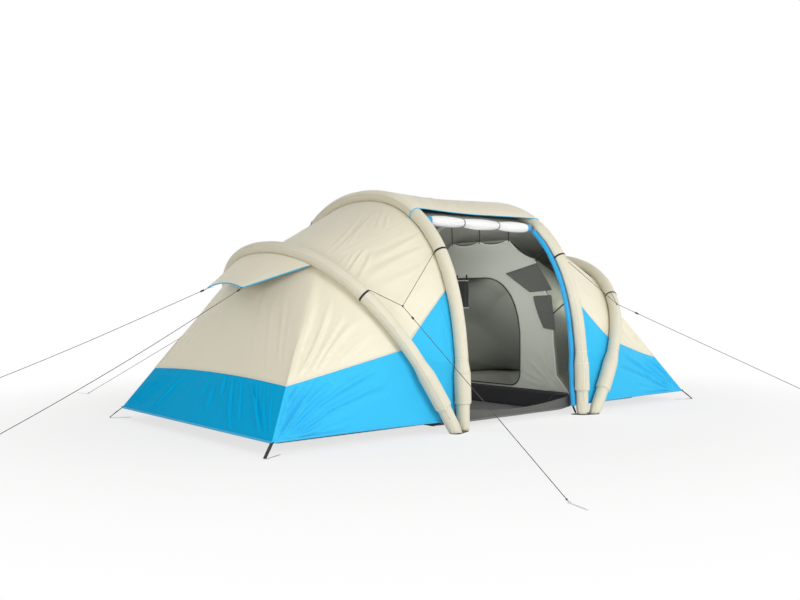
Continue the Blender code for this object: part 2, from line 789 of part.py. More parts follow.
def make_hood(side, end):
    """A vent hood: cloth held out over the pod's end wall by two guylines."""
    label = "left" if side < 0 else "right"
    reach = 2 * 360 / TUBE_SIDES
    seats = [end.at(SHOULDER_STATION + c, reach, TUBE_RADIUS + GAP) for c in range(CROWN_STEPS + 1)]
    tips = [hood_tip(side, front) for front in (1, -1)]
    middle = (tips[0] + tips[1]) / 2 + Vector((0, 0, HOOD_EDGE_RISE))
    sides = [seats[0].lerp(tips[0], HOOD_SIDE_SHARE), seats[-1].lerp(tips[1], HOOD_SIDE_SHARE)]
    rim = [seats[0], sides[0], tips[0], middle, tips[1], sides[1], seats[-1]]
    rows = []
    for seat, edge in zip(seats, rim):
        rows.append([seat.lerp(edge, k / HOOD_STEPS) for k in range(HOOD_STEPS + 1)])
    inside = Vector((side * ROOM_BACK_X, 0, 0))
    part = cloth("hood_" + label, grid_faces(rows), inside, "canvas")
    part.modifiers["thickness"].offset = 1.0


def hood_tip(side, front):
    """A corner of a hood, where its guyline is tied."""
    return Vector((side * HOOD_TIP_X, -front * HOOD_TIP_Y, HOOD_TIP_Z))


def make_front_roll(left, right):
    """The front door, rolled up under the canopy in lobes between its ties."""
    lip = (living_line(left, SHOULDER_STATION) + living_line(right, SHOULDER_STATION)) / 2
    hang = Vector((0, math.cos(ROLL_HANG_ANGLE), math.sin(ROLL_HANG_ANGLE)))
    centre = lip + hang * (ROLL_RADIUS + ROLL_SEAT)
    profile = []
    steps = 4 * ROLL_LOBES
    for k in range(steps + 1):
        u = k / steps
        swell = abs(math.sin(math.pi * ROLL_LOBES * u)) ** ROLL_SWELL_POWER
        waist = ROLL_END_RADIUS if k in (0, steps) else ROLL_WAIST_RADIUS
        profile.append((ROLL_HALF_LENGTH * (2 * u - 1), waist + (ROLL_RADIUS - waist) * swell))
    mesh = round_mesh("front_door_roll", centre, Vector((1, 0, 0)), profile, ROLL_SIDES)
    smooth(mesh)
    add_object("front_door_roll", mesh, "white")


def make_storm_flap(side, beam):
    """The blue flap beside the front door: a narrow web with a padded round edge."""
    label = "left" if side < 0 else "right"
    rings = []
    for station, reach in zip(FLAP_STATIONS, FLAP_REACHES):
        centre, inward = beam.frame(station)
        middle = -beam.across
        seat = living_line(beam, station)
        seat_in = (seat - centre).dot(inward)
        seat_out = (seat - centre).dot(middle)
        run = Vector((reach - seat_in, FLAP_BEAD_INSET - seat_out, 0.0))
        turn = math.atan2(run.y, run.x)
        run = run.normalized()
        side_step = Vector((-run.y, run.x, 0.0)) * (CLOTH / 2)
        start = Vector((seat_in, seat_out, 0.0)) + run * (FLAP_LIFT_SHARE * CLOTH)
        outline = [start + side_step]
        opening = math.asin(CLOTH / 2 / FLAP_BEAD_RADIUS)
        for k in range(FLAP_BEAD_STEPS + 1):
            angle = turn + math.pi - opening - (2 * math.pi - 2 * opening) * k / FLAP_BEAD_STEPS
            bead = Vector((math.cos(angle), math.sin(angle), 0.0)) * FLAP_BEAD_RADIUS
            outline.append(Vector((reach, FLAP_BEAD_INSET, 0.0)) + bead)
        outline.append(start - side_step)
        rings.append([centre + inward * p.x + middle * p.y for p in outline])
    mesh = face_out(mesh_from_faces("storm_flap_" + label, tube_faces(rings, True)))
    add_object("storm_flap_" + label, mesh, "blue")


def convex_outline(points):
    """The convex outline of points in the XY plane, anticlockwise."""
    ordered = sorted(points, key=lambda p: (p[0], p[1]))

    def half(chain_points):
        chain = []
        for p in chain_points:
            while len(chain) > 1:
                a, b = chain[-2], chain[-1]
                if (b[0] - a[0]) * (p[1] - a[1]) - (b[1] - a[1]) * (p[0] - a[0]) > 0:
                    break
                chain.pop()
            chain.append(p)
        return chain

    return half(ordered)[:-1] + half(reversed(ordered))[:-1]


def slab_mesh(name, outline, low, high):
    """A flat plate from an outline in the XY plane."""
    bottom = [Vector((x, y, low)) for x, y in outline]
    top = [Vector((x, y, high)) for x, y in outline]
    return face_out(mesh_from_faces(name, tube_faces([bottom, top], True)))


def make_groundsheet(main_right, end_right):
    """The living room's groundsheet: flat, with a sill at each door and a pad under each pair of feet."""
    profile = []
    for u in (0, 1 / 2, 1):
        depth = SILL_HALF_DEPTH + (SHEET_FLAT_HALF_DEPTH - SILL_HALF_DEPTH) * u
        profile.append((depth, SILL_HEIGHT * (1 - u) ** 2))
    rows = []
    for front in (1, -1):
        half = []
        rise_row = []
        for k in range(SHEET_STEPS + 1):
            u = 2 * k / SHEET_STEPS - 1
            x = SHEET_HALF_LENGTH * u
            rise = SILL_MID_RISE + (SILL_END_RISE - SILL_MID_RISE) * u * u
            rise_row.append(Vector((x, -front * SILL_HALF_DEPTH, SILL_HEIGHT + rise)))
        half.append(rise_row)
        for depth, level in profile:
            row = []
            for k in range(SHEET_STEPS + 1):
                x = SHEET_HALF_LENGTH * (2 * k / SHEET_STEPS - 1)
                row.append(Vector((x, -front * depth, level + CLOTH)))
            half.append(row)
        rows += half if front == 1 else half[::-1]
    below = Vector((0, 0, MAIN_HEIGHT))
    part = cloth("groundsheet", grid_faces(rows), below, "black")
    part.modifiers["thickness"].offset = 1.0
    for side in (1, -1):
        for front in (1, -1):
            feet = [(side * beam.centres[0].x, front * beam.centres[0].y) for beam in (main_right, end_right)]
            feet_y = -main_right.centres[0].y
            circle = []
            for x, y in feet:
                for k in range(PAD_SIDES):
                    angle = 2 * math.pi * (k + 1 / 2) / PAD_SIDES
                    circle.append((x + PAD_RADIUS * math.cos(angle), y + PAD_RADIUS * math.sin(angle)))
            tongue_y = front * (feet_y - FOOT_RADIUS - TAB_CLEARANCE)
            for x in (SHEET_HALF_LENGTH, SHEET_HALF_LENGTH - TAB_WIDTH):
                circle.append((side * x, -tongue_y))
            outline = convex_outline(circle)
            tag = "%d_%d" % (side, front)
            pad = add_cutter("pad_" + tag, slab_mesh("pad", outline, 0.0, PAD_THICKNESS))
            flat = Vector((1, 0, 0))
            middle_x = side * (SHEET_HALF_LENGTH - TAB_WIDTH / 2)
            start = Vector((middle_x, -front * SILL_HALF_DEPTH, SILL_HEIGHT + SILL_END_RISE / 2))
            end = Vector((middle_x, -tongue_y, PAD_THICKNESS / 2))
            run = (end - start).normalized()
            sizes = ((end - start).length, TAB_WIDTH, CLOTH)
            tab_mesh = box_mesh("tab", (start + end) / 2, (run, flat, run.cross(flat)), sizes)
            tab = add_cutter("tab_" + tag, tab_mesh)
            boolean(part, pad, "UNION")
            boolean(part, tab, "UNION")
    return part


def room_profile(shares, half_width, height):
    """Points of one bedroom section, from the front tub edge over the roof to the rear tub edge."""
    front = [(-half_width, TUB_HEIGHT)]
    front += [(-half_width * y, height * z) for y, z in shares]
    return front + [(-y, z) for y, z in reversed(front[:-1])]


def doorway_outline(grow=0.0):
    """The D-shaped doorway in the partition as (y, z) points, anticlockwise seen from the living room."""
    points = []
    front, hinge = -DOORWAY_FRONT_Y - grow, DOORWAY_HINGE_Y + grow
    low, top = DOORWAY_BOTTOM - grow, DOORWAY_TOP + grow
    corner = DOORWAY_CORNER
    tight = corner / 2
    low_corner = (front + corner, low + corner, corner, math.pi, DOORWAY_CORNER_STEPS)
    tight_corner = (hinge - tight, low + tight, tight, math.pi * 3 / 2, DOORWAY_CORNER_STEPS // 2)
    top_corner = (hinge - corner, top - corner, corner, 0.0, DOORWAY_CORNER_STEPS - 1)
    for y, z, radius, first, steps in (low_corner, tight_corner, top_corner):
        for k in range(steps + 1):
            angle = first + math.pi / 2 * k / steps
            points.append((y + radius * math.cos(angle), z + radius * math.sin(angle)))
    reach_y = -DOORWAY_CROWN_Y - front
    reach_z = top - DOORWAY_SPRING
    for k in range(DOORWAY_CURVE_STEPS + 1):
        angle = math.pi / 2 * k / DOORWAY_CURVE_STEPS
        y = -DOORWAY_CROWN_Y - reach_y * math.sin(angle) ** DOORWAY_CURVE_POWER
        z = DOORWAY_SPRING + reach_z * math.cos(angle) ** DOORWAY_CURVE_POWER
        points.append((y, z))
    return points


def partition_outline(beam):
    """The bedroom's front panel as (y, z) points: scalloped at the top, with its hanging straps."""
    profile = room_profile(PARTITION_SHARES, ROOM_HALF_WIDTH, ROOM_HEIGHT)
    count = len(profile)
    middle = count // 2
    hangers = {}
    for k, station in enumerate(HANGER_STATIONS):
        hangers[middle - (len(HANGER_STATIONS) - 1) + k] = station
        hangers[middle + (len(HANGER_STATIONS) - 1) - k] = LAST_STATION - station
    outline = []
    for k, (y, z) in enumerate(profile):
        here = Vector((y, z, 0))
        if k not in hangers:
            outline.append(here)
            continue
        place = int(hangers[k])
        half = HANGER_HALF_WIDTH / (beam.centres[place + 1] - beam.centres[place]).length
        seats = [beam.at(hangers[k] + way * half, 0, TUBE_RADIUS + GAP) for way in (-1, 1)]
        targets = [Vector((seat.y, seat.z, 0)) for seat in seats]
        run = ((targets[0] + targets[1]) / 2 - here).normalized()
        across = Vector((-run.y, run.x, 0)) * HANGER_HALF_WIDTH
        if across.dot(targets[0] - targets[1]) < 0:
            across = -across
        outline += [here + across, targets[0], targets[1], here - across]
    filled = []
    for a, b in zip(outline, outline[1:]):
        filled.append(a)
        run = b - a
        on_roof_line = min(a.y, b.y) > ROOM_HEIGHT * ROOF_LINE_SHARE and abs(run.x) > abs(run.y)
        if on_roof_line and run.length > ROOM_HEIGHT * SCALLOP_SHARE / 2:
            for step in range(1, SCALLOP_STEPS):
                u = step / SCALLOP_STEPS
                sag = 4 * u * (1 - u) * SCALLOP_SHARE * run.length
                filled.append(a.lerp(b, u) - Vector((0, sag, 0)))
    filled.append(outline[-1])
    return [(p.x, p.y) for p in filled]


def make_bedroom(side, beam):
    """A bedroom: tub floor, hanging walls and roof, and the partition with its doorway."""
    label = "left" if side < 0 else "right"
    name = "bedroom_" + label
    front_x = MAIN_X
    rows = []
    tables = ((front_x, PARTITION_SHARES), (ROOM_MID_X, ROOM_MID_SHARES), (ROOM_BACK_X, ROOM_BACK_SHARES))
    for x, shares in tables:
        points = room_profile(shares, ROOM_HALF_WIDTH, ROOM_HEIGHT)
        rows.append([Vector((side * x, y, z)) for y, z in points])
    first = rows[0]
    spread = [-1.0] + [-share for share in ROOM_END_SHARES]
    spread += [-share for share in reversed(spread[:-1])]
    rows.append([Vector((side * ROOM_END_X, ROOM_HALF_WIDTH * share, TUB_HEIGHT)) for share in spread])
    work = bmesh.new()
    cache = {}

    def vertex(point):
        key = tuple(round(value, 6) for value in point)
        if key not in cache:
            cache[key] = work.verts.new(point)
        return cache[key]

    def face(points):
        corners = []
        for point in points:
            corner = vertex(point)
            if corner not in corners:
                corners.append(corner)
        if len(corners) > 2:
            work.faces.new(corners)

    outline = partition_outline(beam)
    roof_edge = [Vector((side * front_x, y, z)) for y, z in outline]
    for low, high in zip(rows[1:], rows[2:]):
        for k in range(len(low) - 1):
            face((low[k], low[k + 1], high[k + 1], high[k]))
    matches = match_edges(roof_edge, first)
    for k in range(len(first) - 1):
        strip = roof_edge[matches[k] : matches[k + 1] + 1]
        for p in range(len(strip) - 1):
            face((strip[p], strip[p + 1], rows[1][k]))
        face((strip[-1], rows[1][k + 1], rows[1][k]))
    levels = (
        (FLOOR_HALF_WIDTH, FLOOR_X, ROOM_FLOOR_LIFT),
        (TUB_FOLD_HALF_WIDTH, TUB_FOLD_X, TUB_FOLD_HEIGHT),
    )
    rims = []
    for half, end_x, level in levels:
        plan = ((front_x, -half), (front_x, half), (end_x, half), (end_x, -half))
        rims.append([Vector((side * x, y, level)) for x, y in plan])
    floor, fold = rims
    face(floor)
    for k in range(1, 4):
        after = (k + 1) % 4
        face((floor[k], floor[after], fold[after], fold[k]))
    face([first[0], fold[0], floor[0], floor[1], fold[1], first[-1]])
    face([fold[1], fold[2], rows[-1][-1]] + [row[-1] for row in reversed(rows[:-1])])
    face([fold[2], fold[3]] + rows[-1])
    face([fold[3], fold[0]] + [row[0] for row in rows])
    loop = [vertex(p) for p in roof_edge]
    hole = [vertex(Vector((side * front_x, y, z))) for y, z in doorway_outline()]
    edges = []
    for ring, closed in ((loop, True), (hole, True)):
        for a, b in zip(ring, ring[1:] + ring[:1]):
            edge = work.edges.get((a, b)) or work.edges.new((a, b))
            edges.append(edge)
    bmesh.ops.triangle_fill(work, edges=edges, use_beauty=True, normal=Vector((-side, 0, 0)))
    bmesh.ops.recalc_face_normals(work, faces=work.faces)
    mesh = bpy.data.meshes.new(name)
    work.to_mesh(mesh)
    work.free()
    votes = 0.0
    middle = Vector((side * ROOM_MID_X, 0, ROOM_HEIGHT / 3))
    for polygon in mesh.polygons:
        votes += polygon.normal.dot(polygon.center - middle) * polygon.area
    if votes < 0:
        mesh.flip_normals()
    part = add_object(name, mesh, "inner")
    thick = part.modifiers.new("thickness", "SOLIDIFY")
    thick.thickness = CLOTH
    thick.offset = -1.0


def match_edges(fine, coarse):
    """For each coarse point, the place in the fine outline that belongs to it."""
    places = []
    for point in coarse:
        distances = [(point - other).length for other in fine]
        places.append(int(np.argmin(distances)))
    places[0] = 0
    places[-1] = len(fine) - 1
    return places


def make_bedroom_door(side):
    """The closed door of one bedroom: a panel lapped over the doorway, hinged on its rear edge."""
    name = "bedroom_door_left"
    outline = doorway_outline(DOOR_LAP)
    near = [Vector((side * (MAIN_X - GAP), y, z)) for y, z in outline]
    far = [Vector((side * (MAIN_X - GAP - CLOTH), y, z)) for y, z in outline]
    mesh = face_out(mesh_from_faces(name, tube_faces([near, far], True)))
    add_object(name, mesh, "inner")


def make_door_roll(side):
    """The other bedroom's door, rolled up and tied beside its doorway."""
    height = DOORWAY_TOP - DOORWAY_CORNER - DOORWAY_BOTTOM
    profile = []
    for k in range(DOOR_ROLL_STEPS + 1):
        share = 1 if k % 2 else DOOR_ROLL_WAIST_SHARE
        if k in (0, DOOR_ROLL_STEPS):
            share = DOOR_ROLL_END_SHARE
        profile.append((height * k / DOOR_ROLL_STEPS, DOOR_ROLL_RADIUS * share))
    x = side * (MAIN_X - GAP - DOOR_ROLL_RADIUS)
    base = Vector((x, DOORWAY_HINGE_Y + DOOR_ROLL_RADIUS, DOORWAY_BOTTOM))
    mesh = round_mesh("bedroom_door_roll_right", base, Vector((0, 0, 1)), profile, DOOR_ROLL_SIDES)
    smooth(mesh)
    add_object("bedroom_door_roll_right", mesh, "inner")


def make_organiser(side):
    """An open pouch that hangs in the doorway from two tabs, clipped over the doorway's upper edge."""
    name = "organiser"
    x = side * (MAIN_X - GAP - POUCH_DEPTH / 2)
    axes = (Vector((1, 0, 0)), Vector((0, 1, 0)), Vector((0, 0, 1)))
    middle = Vector((x, POUCH_Y, POUCH_TOP - POUCH_HEIGHT / 2))
    part = add_object(name, box_mesh(name, middle, axes, (POUCH_DEPTH, POUCH_WIDTH, POUCH_HEIGHT)), "black")
    for k in (-1, 1):
        low = POUCH_TOP - POUCH_HEIGHT / 4
        high = DOORWAY_TOP + POUCH_TAB_LAP
        centre = Vector((side * (MAIN_X - GAP - CLOTH / 2), POUCH_Y + k * POUCH_WIDTH / 3, (low + high) / 2))
        tab = box_mesh(name, centre, axes, (CLOTH, POUCH_TAB_WIDTH, high - low))
        boolean(part, add_cutter("%s_tab_%d" % (name, k), tab), "UNION")
    lift = Vector((0, 0, CLOTH + OVERRUN))
    hollow = (POUCH_DEPTH - 2 * CLOTH, POUCH_WIDTH - 2 * CLOTH, POUCH_HEIGHT + 2 * OVERRUN)
    room = box_mesh(name, middle + lift, axes, hollow)
    boolean(part, add_cutter(name + "_room", room), "DIFFERENCE")


def cord_curve(name, points, radius):
    """A round cord through points, with filled ends."""
    curve = bpy.data.curves.new(name, "CURVE")
    curve.dimensions = "3D"
    curve.bevel_depth = radius
    curve.bevel_resolution = 2
    curve.use_fill_caps = True
    spline = curve.splines.new("POLY")
    spline.points.add(len(points) - 1)
    for place, point in zip(spline.points, points):
        place.co = (*point, 1.0)
    return curve


def cord_mesh(name, points, radius):
    """The same cord as a mesh, for a piece that joins several runs."""
    guide = bpy.data.objects.new(name, cord_curve(name, points, radius))
    bpy.context.scene.collection.objects.link(guide)
    mesh = bpy.data.meshes.new_from_object(guide)
    bpy.data.objects.remove(guide, do_unlink=True)
    work = bmesh.new()
    work.from_mesh(mesh)
    bmesh.ops.remove_doubles(work, verts=work.verts, dist=GAP / 10)
    work.to_mesh(mesh)
    work.free()
    return face_out(mesh)


def bridle_places(side, front, main, end):
    """The start of each arm of a bridle, its knot and its peg."""
    knot = Vector((side * BRIDLE_X, -front * BRIDLE_Y, BRIDLE_Z))
    starts = []
    for beam, level in ((main, MAIN_BAND_HEIGHT), (end, END_BAND_HEIGHT)):
        station = beam.station_at_height(level)
        station = station if front == 1 else LAST_STATION - station
        centre, _ = beam.frame(station)
        run = beam.direction(station)
        arm = (knot - centre).normalized()
        out = (arm - run * arm.dot(run)).normalized()
        reach = beam.reach(station, out, TUBE_RADIUS + BAND_THICKNESS)
        tilt = CORD_RADIUS * math.sqrt(1 - out.dot(arm) ** 2)
        starts.append(centre + out * (reach + tilt + GAP))
    peg = Vector((side * BRIDLE_PEG_X, -front * BRIDLE_PEG_Y, 0.0))
    return starts, knot, peg


def line_end(start, peg):
    """The end of a guyline, tied on its peg's hook."""
    flat = Vector((start.x - peg.x, start.y - peg.y, 0.0)).normalized()
    wire = peg - flat * PEG_RADIUS + Vector((0, 0, PEG_RADIUS))
    return wire + (start - wire).normalized() * (PEG_RADIUS + GAP)


def make_bridle(side, front, main, end):
    """A bridle: two arms from the beams' bands meet in a knot, and one line runs on to the peg."""
    name = "guyline_%s_%s" % ("front" if front == 1 else "rear", "left" if side < 0 else "right")
    starts, knot, peg = bridle_places(side, front, main, end)
    ball = bpy.data.meshes.new(name)
    work = bmesh.new()
    bmesh.ops.create_icosphere(work, subdivisions=1, radius=KNOT_RADIUS, matrix=Matrix.Translation(knot))
    work.to_mesh(ball)
    work.free()
    part = add_object(name, ball, "black")
    for k, end_point in enumerate([line_end(knot, peg)] + starts):
        arm = cord_mesh("%s_arm_%d" % (name, k), [knot, end_point], CORD_RADIUS)
        boolean(part, add_cutter("%s_arm_%d" % (name, k), arm), "UNION")


def hood_line_route(side, front):
    """Points of a hood's guyline: straight near the hood, then in a slack curve down to its peg."""
    tip = hood_tip(side, front)
    if side < 0:
        peg = Vector((side * HOOD_PEG_X, -front * HOOD_PEG_Y, 0.0))
    else:
        peg = Vector((side * NEAR_HOOD_PEG_X, -front * NEAR_HOOD_PEG_Y, 0.0))
    run = (peg - tip).normalized()
    start = tip + run * (3 * GAP)
    end = line_end(start, peg)
    drop = HOOD_LINE_DROP * (end - start).length / (HOOD_PEG_X - HOOD_TIP_X)
    straight = HOOD_LINE_STRAIGHT_SHARE
    shares = [0.0] + list(np.linspace(straight, 1.0, HOOD_LINE_POINTS - 1))
    points = []
    for u in shares:
        slack = drop * u
        if u > straight:
            slack -= drop * ((u - straight) / (1 - straight)) ** 2
        points.append(start.lerp(end, u) - Vector((0, 0, slack)))
    return points, peg


def make_hood_line(side, front):
    """One guyline from a hood's tip to its peg."""
    name = "hood_line_%s_%s" % ("front" if front == 1 else "rear", "left" if side < 0 else "right")
    points, _ = hood_line_route(side, front)
    add_object(name, cord_curve(name, points, CORD_RADIUS), "black")


def make_runner(name, start, run, at):
    """A guyline runner: a small barrel that slides along the line."""
    low = at - RUNNER_LENGTH / 2
    taper = RUNNER_LENGTH * RUNNER_TAPER_SHARE
    profile = [
        (low, RUNNER_RADIUS * RUNNER_END_SHARE),
        (low + taper, RUNNER_RADIUS),
        (low + RUNNER_LENGTH - taper, RUNNER_RADIUS),
        (low + RUNNER_LENGTH, RUNNER_RADIUS * RUNNER_END_SHARE),
    ]
    turn = run.to_track_quat("Z", "Y").to_matrix()
    bore = CORD_RADIUS + RUNNER_CLEARANCE
    outer, inner = [], []
    for height, radius in profile:
        ring = []
        for k in range(RUNNER_SIDES):
            angle = 2 * math.pi * k / RUNNER_SIDES
            ring.append(start + turn @ Vector((radius * math.cos(angle), radius * math.sin(angle), height)))
        outer.append(ring)
    for height in (low, low + RUNNER_LENGTH):
        ring = []
        reach = bore / math.cos(math.pi / RUNNER_SIDES)
        for k in range(RUNNER_SIDES):
            angle = 2 * math.pi * k / RUNNER_SIDES
            ring.append(start + turn @ Vector((reach * math.cos(angle), reach * math.sin(angle), height)))
        inner.append(ring)
    faces = tube_faces(outer, False) + tube_faces(inner, False)
    faces += tube_faces([outer[0], inner[0]], False) + tube_faces([outer[-1], inner[-1]], False)
    mesh = face_out(mesh_from_faces(name, faces))
    add_object(name, mesh, "plastic")


def make_peg(name, place, run):
    """A wire peg laid on the ground: a straight shank with a hooked head."""
    across = Vector((-run.y, run.x, 0.0))
    centre = place + Vector((0, 0, PEG_RADIUS))
    points = []
    for k in range(PEG_HOOK_STEPS + 1):
        angle = math.pi * (PEG_HOOK_OPEN_SHARE + (1 - PEG_HOOK_OPEN_SHARE) * k / PEG_HOOK_STEPS)
        offset = -run * math.sin(angle) * PEG_HOOK_RADIUS
        offset += across * math.cos(angle) * PEG_HOOK_RADIUS
        points.append(centre + run * (PEG_HOOK_RADIUS + PEG_RADIUS) + offset)
    points.append(centre + run * PEG_LENGTH - across * PEG_HOOK_RADIUS)
    curve = cord_curve(name, points, PEG_RADIUS)
    curve.bevel_resolution = 1
    add_object(name, curve, "steel")


def make_zip_slider(name, place, run, out, up):
    """A zip slider with its pull hanging below."""
    body = box_mesh(name, place + out * ZIP_BODY[2] / 2, (run, up, out), ZIP_BODY)
    part = add_object(name, body, "plastic")
    pull_at = place + out * (ZIP_BODY[2] - ZIP_PULL[2] / 2) - up * (ZIP_BODY[1] / 2 + ZIP_PULL[1] / 2 - GAP)
    pull = box_mesh(name + "_pull", pull_at, (run, up, out), ZIP_PULL)
    boolean(part, add_cutter(name + "_pull", pull), "UNION")


def build():
    """Makes every part of the tent."""
    clear_scene()
    mains, ends = {}, {}
    for side in (-1, 1):
        mains[side] = Beam(
            side=side,
            foot_x=MAIN_X,
            top_x=MAIN_X,
            half_width=MAIN_HALF_WIDTH,
            height=MAIN_HEIGHT,
            powers=(MAIN_FLANK_POWER, MAIN_CROWN_POWER),
            mid_height=MAIN_MID_HEIGHT,
            seam_height=MAIN_SEAM_HEIGHT,
            shoulder_y=CANOPY_HALF_DEPTH,
        )
        ends[side] = Beam(
            side=side,
            foot_x=END_FOOT_X,
            top_x=END_TOP_X,
            half_width=END_HALF_WIDTH,
            height=END_HEIGHT,
            powers=(END_FLANK_POWER, END_CROWN_POWER),
            mid_height=END_MID_HEIGHT,
            seam_height=END_SEAM_HEIGHT,
            shoulder_y=HIP_HALF_DEPTH,
        )
    for side, label in ((-1, "left"), (1, "right")):
        beams = (("main", mains[side], MAIN_BAND_HEIGHT), ("end", ends[side], END_BAND_HEIGHT))
        for kind, beam, band in beams:
            tag = "%s_%s" % (kind, label)
            sleeve = make_sleeve("sleeve_" + tag, beam, band)
            flange_at = make_bladder("bladder_" + tag, beam)
            cut_valve_hole(sleeve, beam, flange_at)
            make_cap("valve_cap_" + tag, beam, flange_at)
        make_pod(side, mains[side], ends[side])
        make_hood(side, ends[side])
        make_storm_flap(side, mains[side])
        make_bedroom(side, mains[side])
        for front, where in ((1, "front"), (-1, "rear")):
            make_bridle(side, front, mains[side], ends[side])
            starts, knot, peg = bridle_places(side, front, mains[side], ends[side])
            run = (line_end(knot, peg) - knot).normalized()
            make_runner("runner_%s_%s" % (where, label), knot, run, BRIDLE_RUNNER_AT)
            flat = Vector((peg.x - knot.x, peg.y - knot.y, 0)).normalized()
            make_peg("peg_%s_%s" % (where, label), peg, flat)
            make_hood_line(side, front)
            route, hood_peg = hood_line_route(side, front)
            run = (route[1] - route[0]).normalized()
            make_runner("hood_runner_%s_%s" % (where, label), route[0], run, HOOD_RUNNER_AT)
            flat = Vector((hood_peg.x - route[0].x, hood_peg.y - route[0].y, 0)).normalized()
            make_peg("hood_peg_%s_%s" % (where, label), hood_peg, flat)
            place = corner_peg_place(side, front) - Vector((0, 0, PEG_RADIUS))
            inward = Vector((-side * HEM_HALF_LENGTH, front * HEM_HALF_WIDTH, 0)).normalized()
            make_peg("corner_peg_%s_%s" % (where, label), place, inward)
    make_canopy(mains[-1], mains[1])
    make_living_cloth(mains[-1], mains[1])
    make_front_roll(mains[-1], mains[1])
    make_groundsheet(mains[1], ends[1])
    make_bedroom_door(-1)
    make_door_roll(1)
    make_organiser(1)
    along, out, up = Vector((0, 1, 0)), Vector((1, 0, 0)), Vector((0, 0, 1))
    level = DOORWAY_BOTTOM + ZIP_BODY[1]
    place = Vector((-MAIN_X + GAP * 2 + CLOTH, DOORWAY_CORNER - DOORWAY_FRONT_Y, level))
    make_zip_slider("bedroom_zip_slider_left", place, along, out, up)
    rear = Vector((REAR_ZIP_X, living_line(mains[1], LAST_STATION - FIRST_STATION).y, REAR_ZIP_HEIGHT))
    make_zip_slider("rear_zip_slider", rear + along * GAP, out, along, up)


build()
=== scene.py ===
"""The looks of an inflatable family tent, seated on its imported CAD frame.

X runs along the tent, the front door faces -Y, and Z is up, in metres.
"""

import math

import bmesh
import bpy
import numpy as np
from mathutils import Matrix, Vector
from mathutils.geometry import delaunay_2d_cdt


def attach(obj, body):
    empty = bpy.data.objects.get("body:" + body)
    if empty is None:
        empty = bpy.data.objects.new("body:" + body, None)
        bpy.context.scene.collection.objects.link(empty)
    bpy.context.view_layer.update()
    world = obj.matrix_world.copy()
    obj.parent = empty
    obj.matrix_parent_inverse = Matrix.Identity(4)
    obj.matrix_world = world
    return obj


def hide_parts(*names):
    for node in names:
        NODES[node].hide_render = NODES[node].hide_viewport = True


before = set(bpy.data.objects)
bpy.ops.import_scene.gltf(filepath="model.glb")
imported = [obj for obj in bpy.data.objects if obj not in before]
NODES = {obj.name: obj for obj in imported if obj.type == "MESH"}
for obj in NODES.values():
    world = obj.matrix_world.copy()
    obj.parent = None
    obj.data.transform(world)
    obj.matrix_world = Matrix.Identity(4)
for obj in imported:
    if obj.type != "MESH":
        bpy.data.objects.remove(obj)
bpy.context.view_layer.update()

# Sizes shared with the CAD source
GAP = 0.0003
TUBE = 0.0525
BOOT = 0.0645
FOOT = 0.046
FOOT_LIFT = 0.0083
SHOULDER, LAST = 12, 30
HEM = Vector((2.401, 1.199, 0.084))
HIP_SEAM = 0.29
SLACK = 0.018
MAIN_X = 0.728
ROOM_W, ROOM_H = 1.105, 1.568
TUB = 0.172
TUB_FLOOR = (2.11, 0.800, 0.0025)
SILL_X, SILL_Y = 0.700, 1.136
CORD = 0.0022
CLOTH, INNER_CLOTH = 0.0010, 0.0009
BAND_LEVELS = {"main": 1.3855, "end": 1.0357}
BRIDLE_KNOT, BRIDLE_PEG = (1.296, 1.204, 0.960), (1.938, 3.222)
HOOD_TIP = (2.081, 0.274, 1.095)
HOOD_PEGS = {-1: (4.65, 1.08), 1: (3.20, 0.50)}
CORNER_PEG_OUT = (0.082, 0.052)
PEG_WIRE, PEG_HOOK = 0.003, 0.009


def added(name, data):
    """An object of a mesh, a lamp or a camera, put in the scene."""
    made = bpy.data.objects.new(name, data)
    bpy.context.scene.collection.objects.link(made)
    return made


# The camera that took the photograph
def make_camera():
    data = bpy.data.cameras.new("camera")
    data.lens = 38.70
    data.sensor_width = 36.0
    data.clip_end = 200.0
    camera = added("camera", data)
    camera.location = (-5.3423, -5.9364, 1.016)
    camera.rotation_euler = (math.pi / 2 - 0.0019, 0.0015, -0.7043)
    bpy.context.scene.camera = camera


make_camera()
bpy.context.scene.view_settings.view_transform = "Standard"


# Geometry helpers
def unit(v):
    return v / np.maximum(np.linalg.norm(v, axis=-1, keepdims=True), 1e-12)


def hand(side):
    return "left" if side < 0 else "right"


def facing(front):
    return "front" if front == 1 else "rear"


def lengths_along(line):
    """The length from a line's start to each of its points."""
    return np.concatenate([[0], np.cumsum(np.linalg.norm(np.diff(line, axis=0), axis=1))])


def between(a, b, count, low=0.0, high=1.0):
    """Even points on the straight line from a to b, from a low to a high share of it."""
    return np.array([a + (b - a) * u for u in np.linspace(low, high, count)])


def quarter(point, side, front):
    """A place given for the right rear of the tent, or one on the ground there, in another quarter."""
    return np.array([side * point[0], -front * point[1], point[2] if len(point) > 2 else 0.0])


def circle(count):
    return np.linspace(0, 2 * np.pi, count)


def smoothstep(low, high, x):
    t = np.clip((x - low) / (high - low), 0.0, 1.0)
    return t * t * (3 - 2 * t)


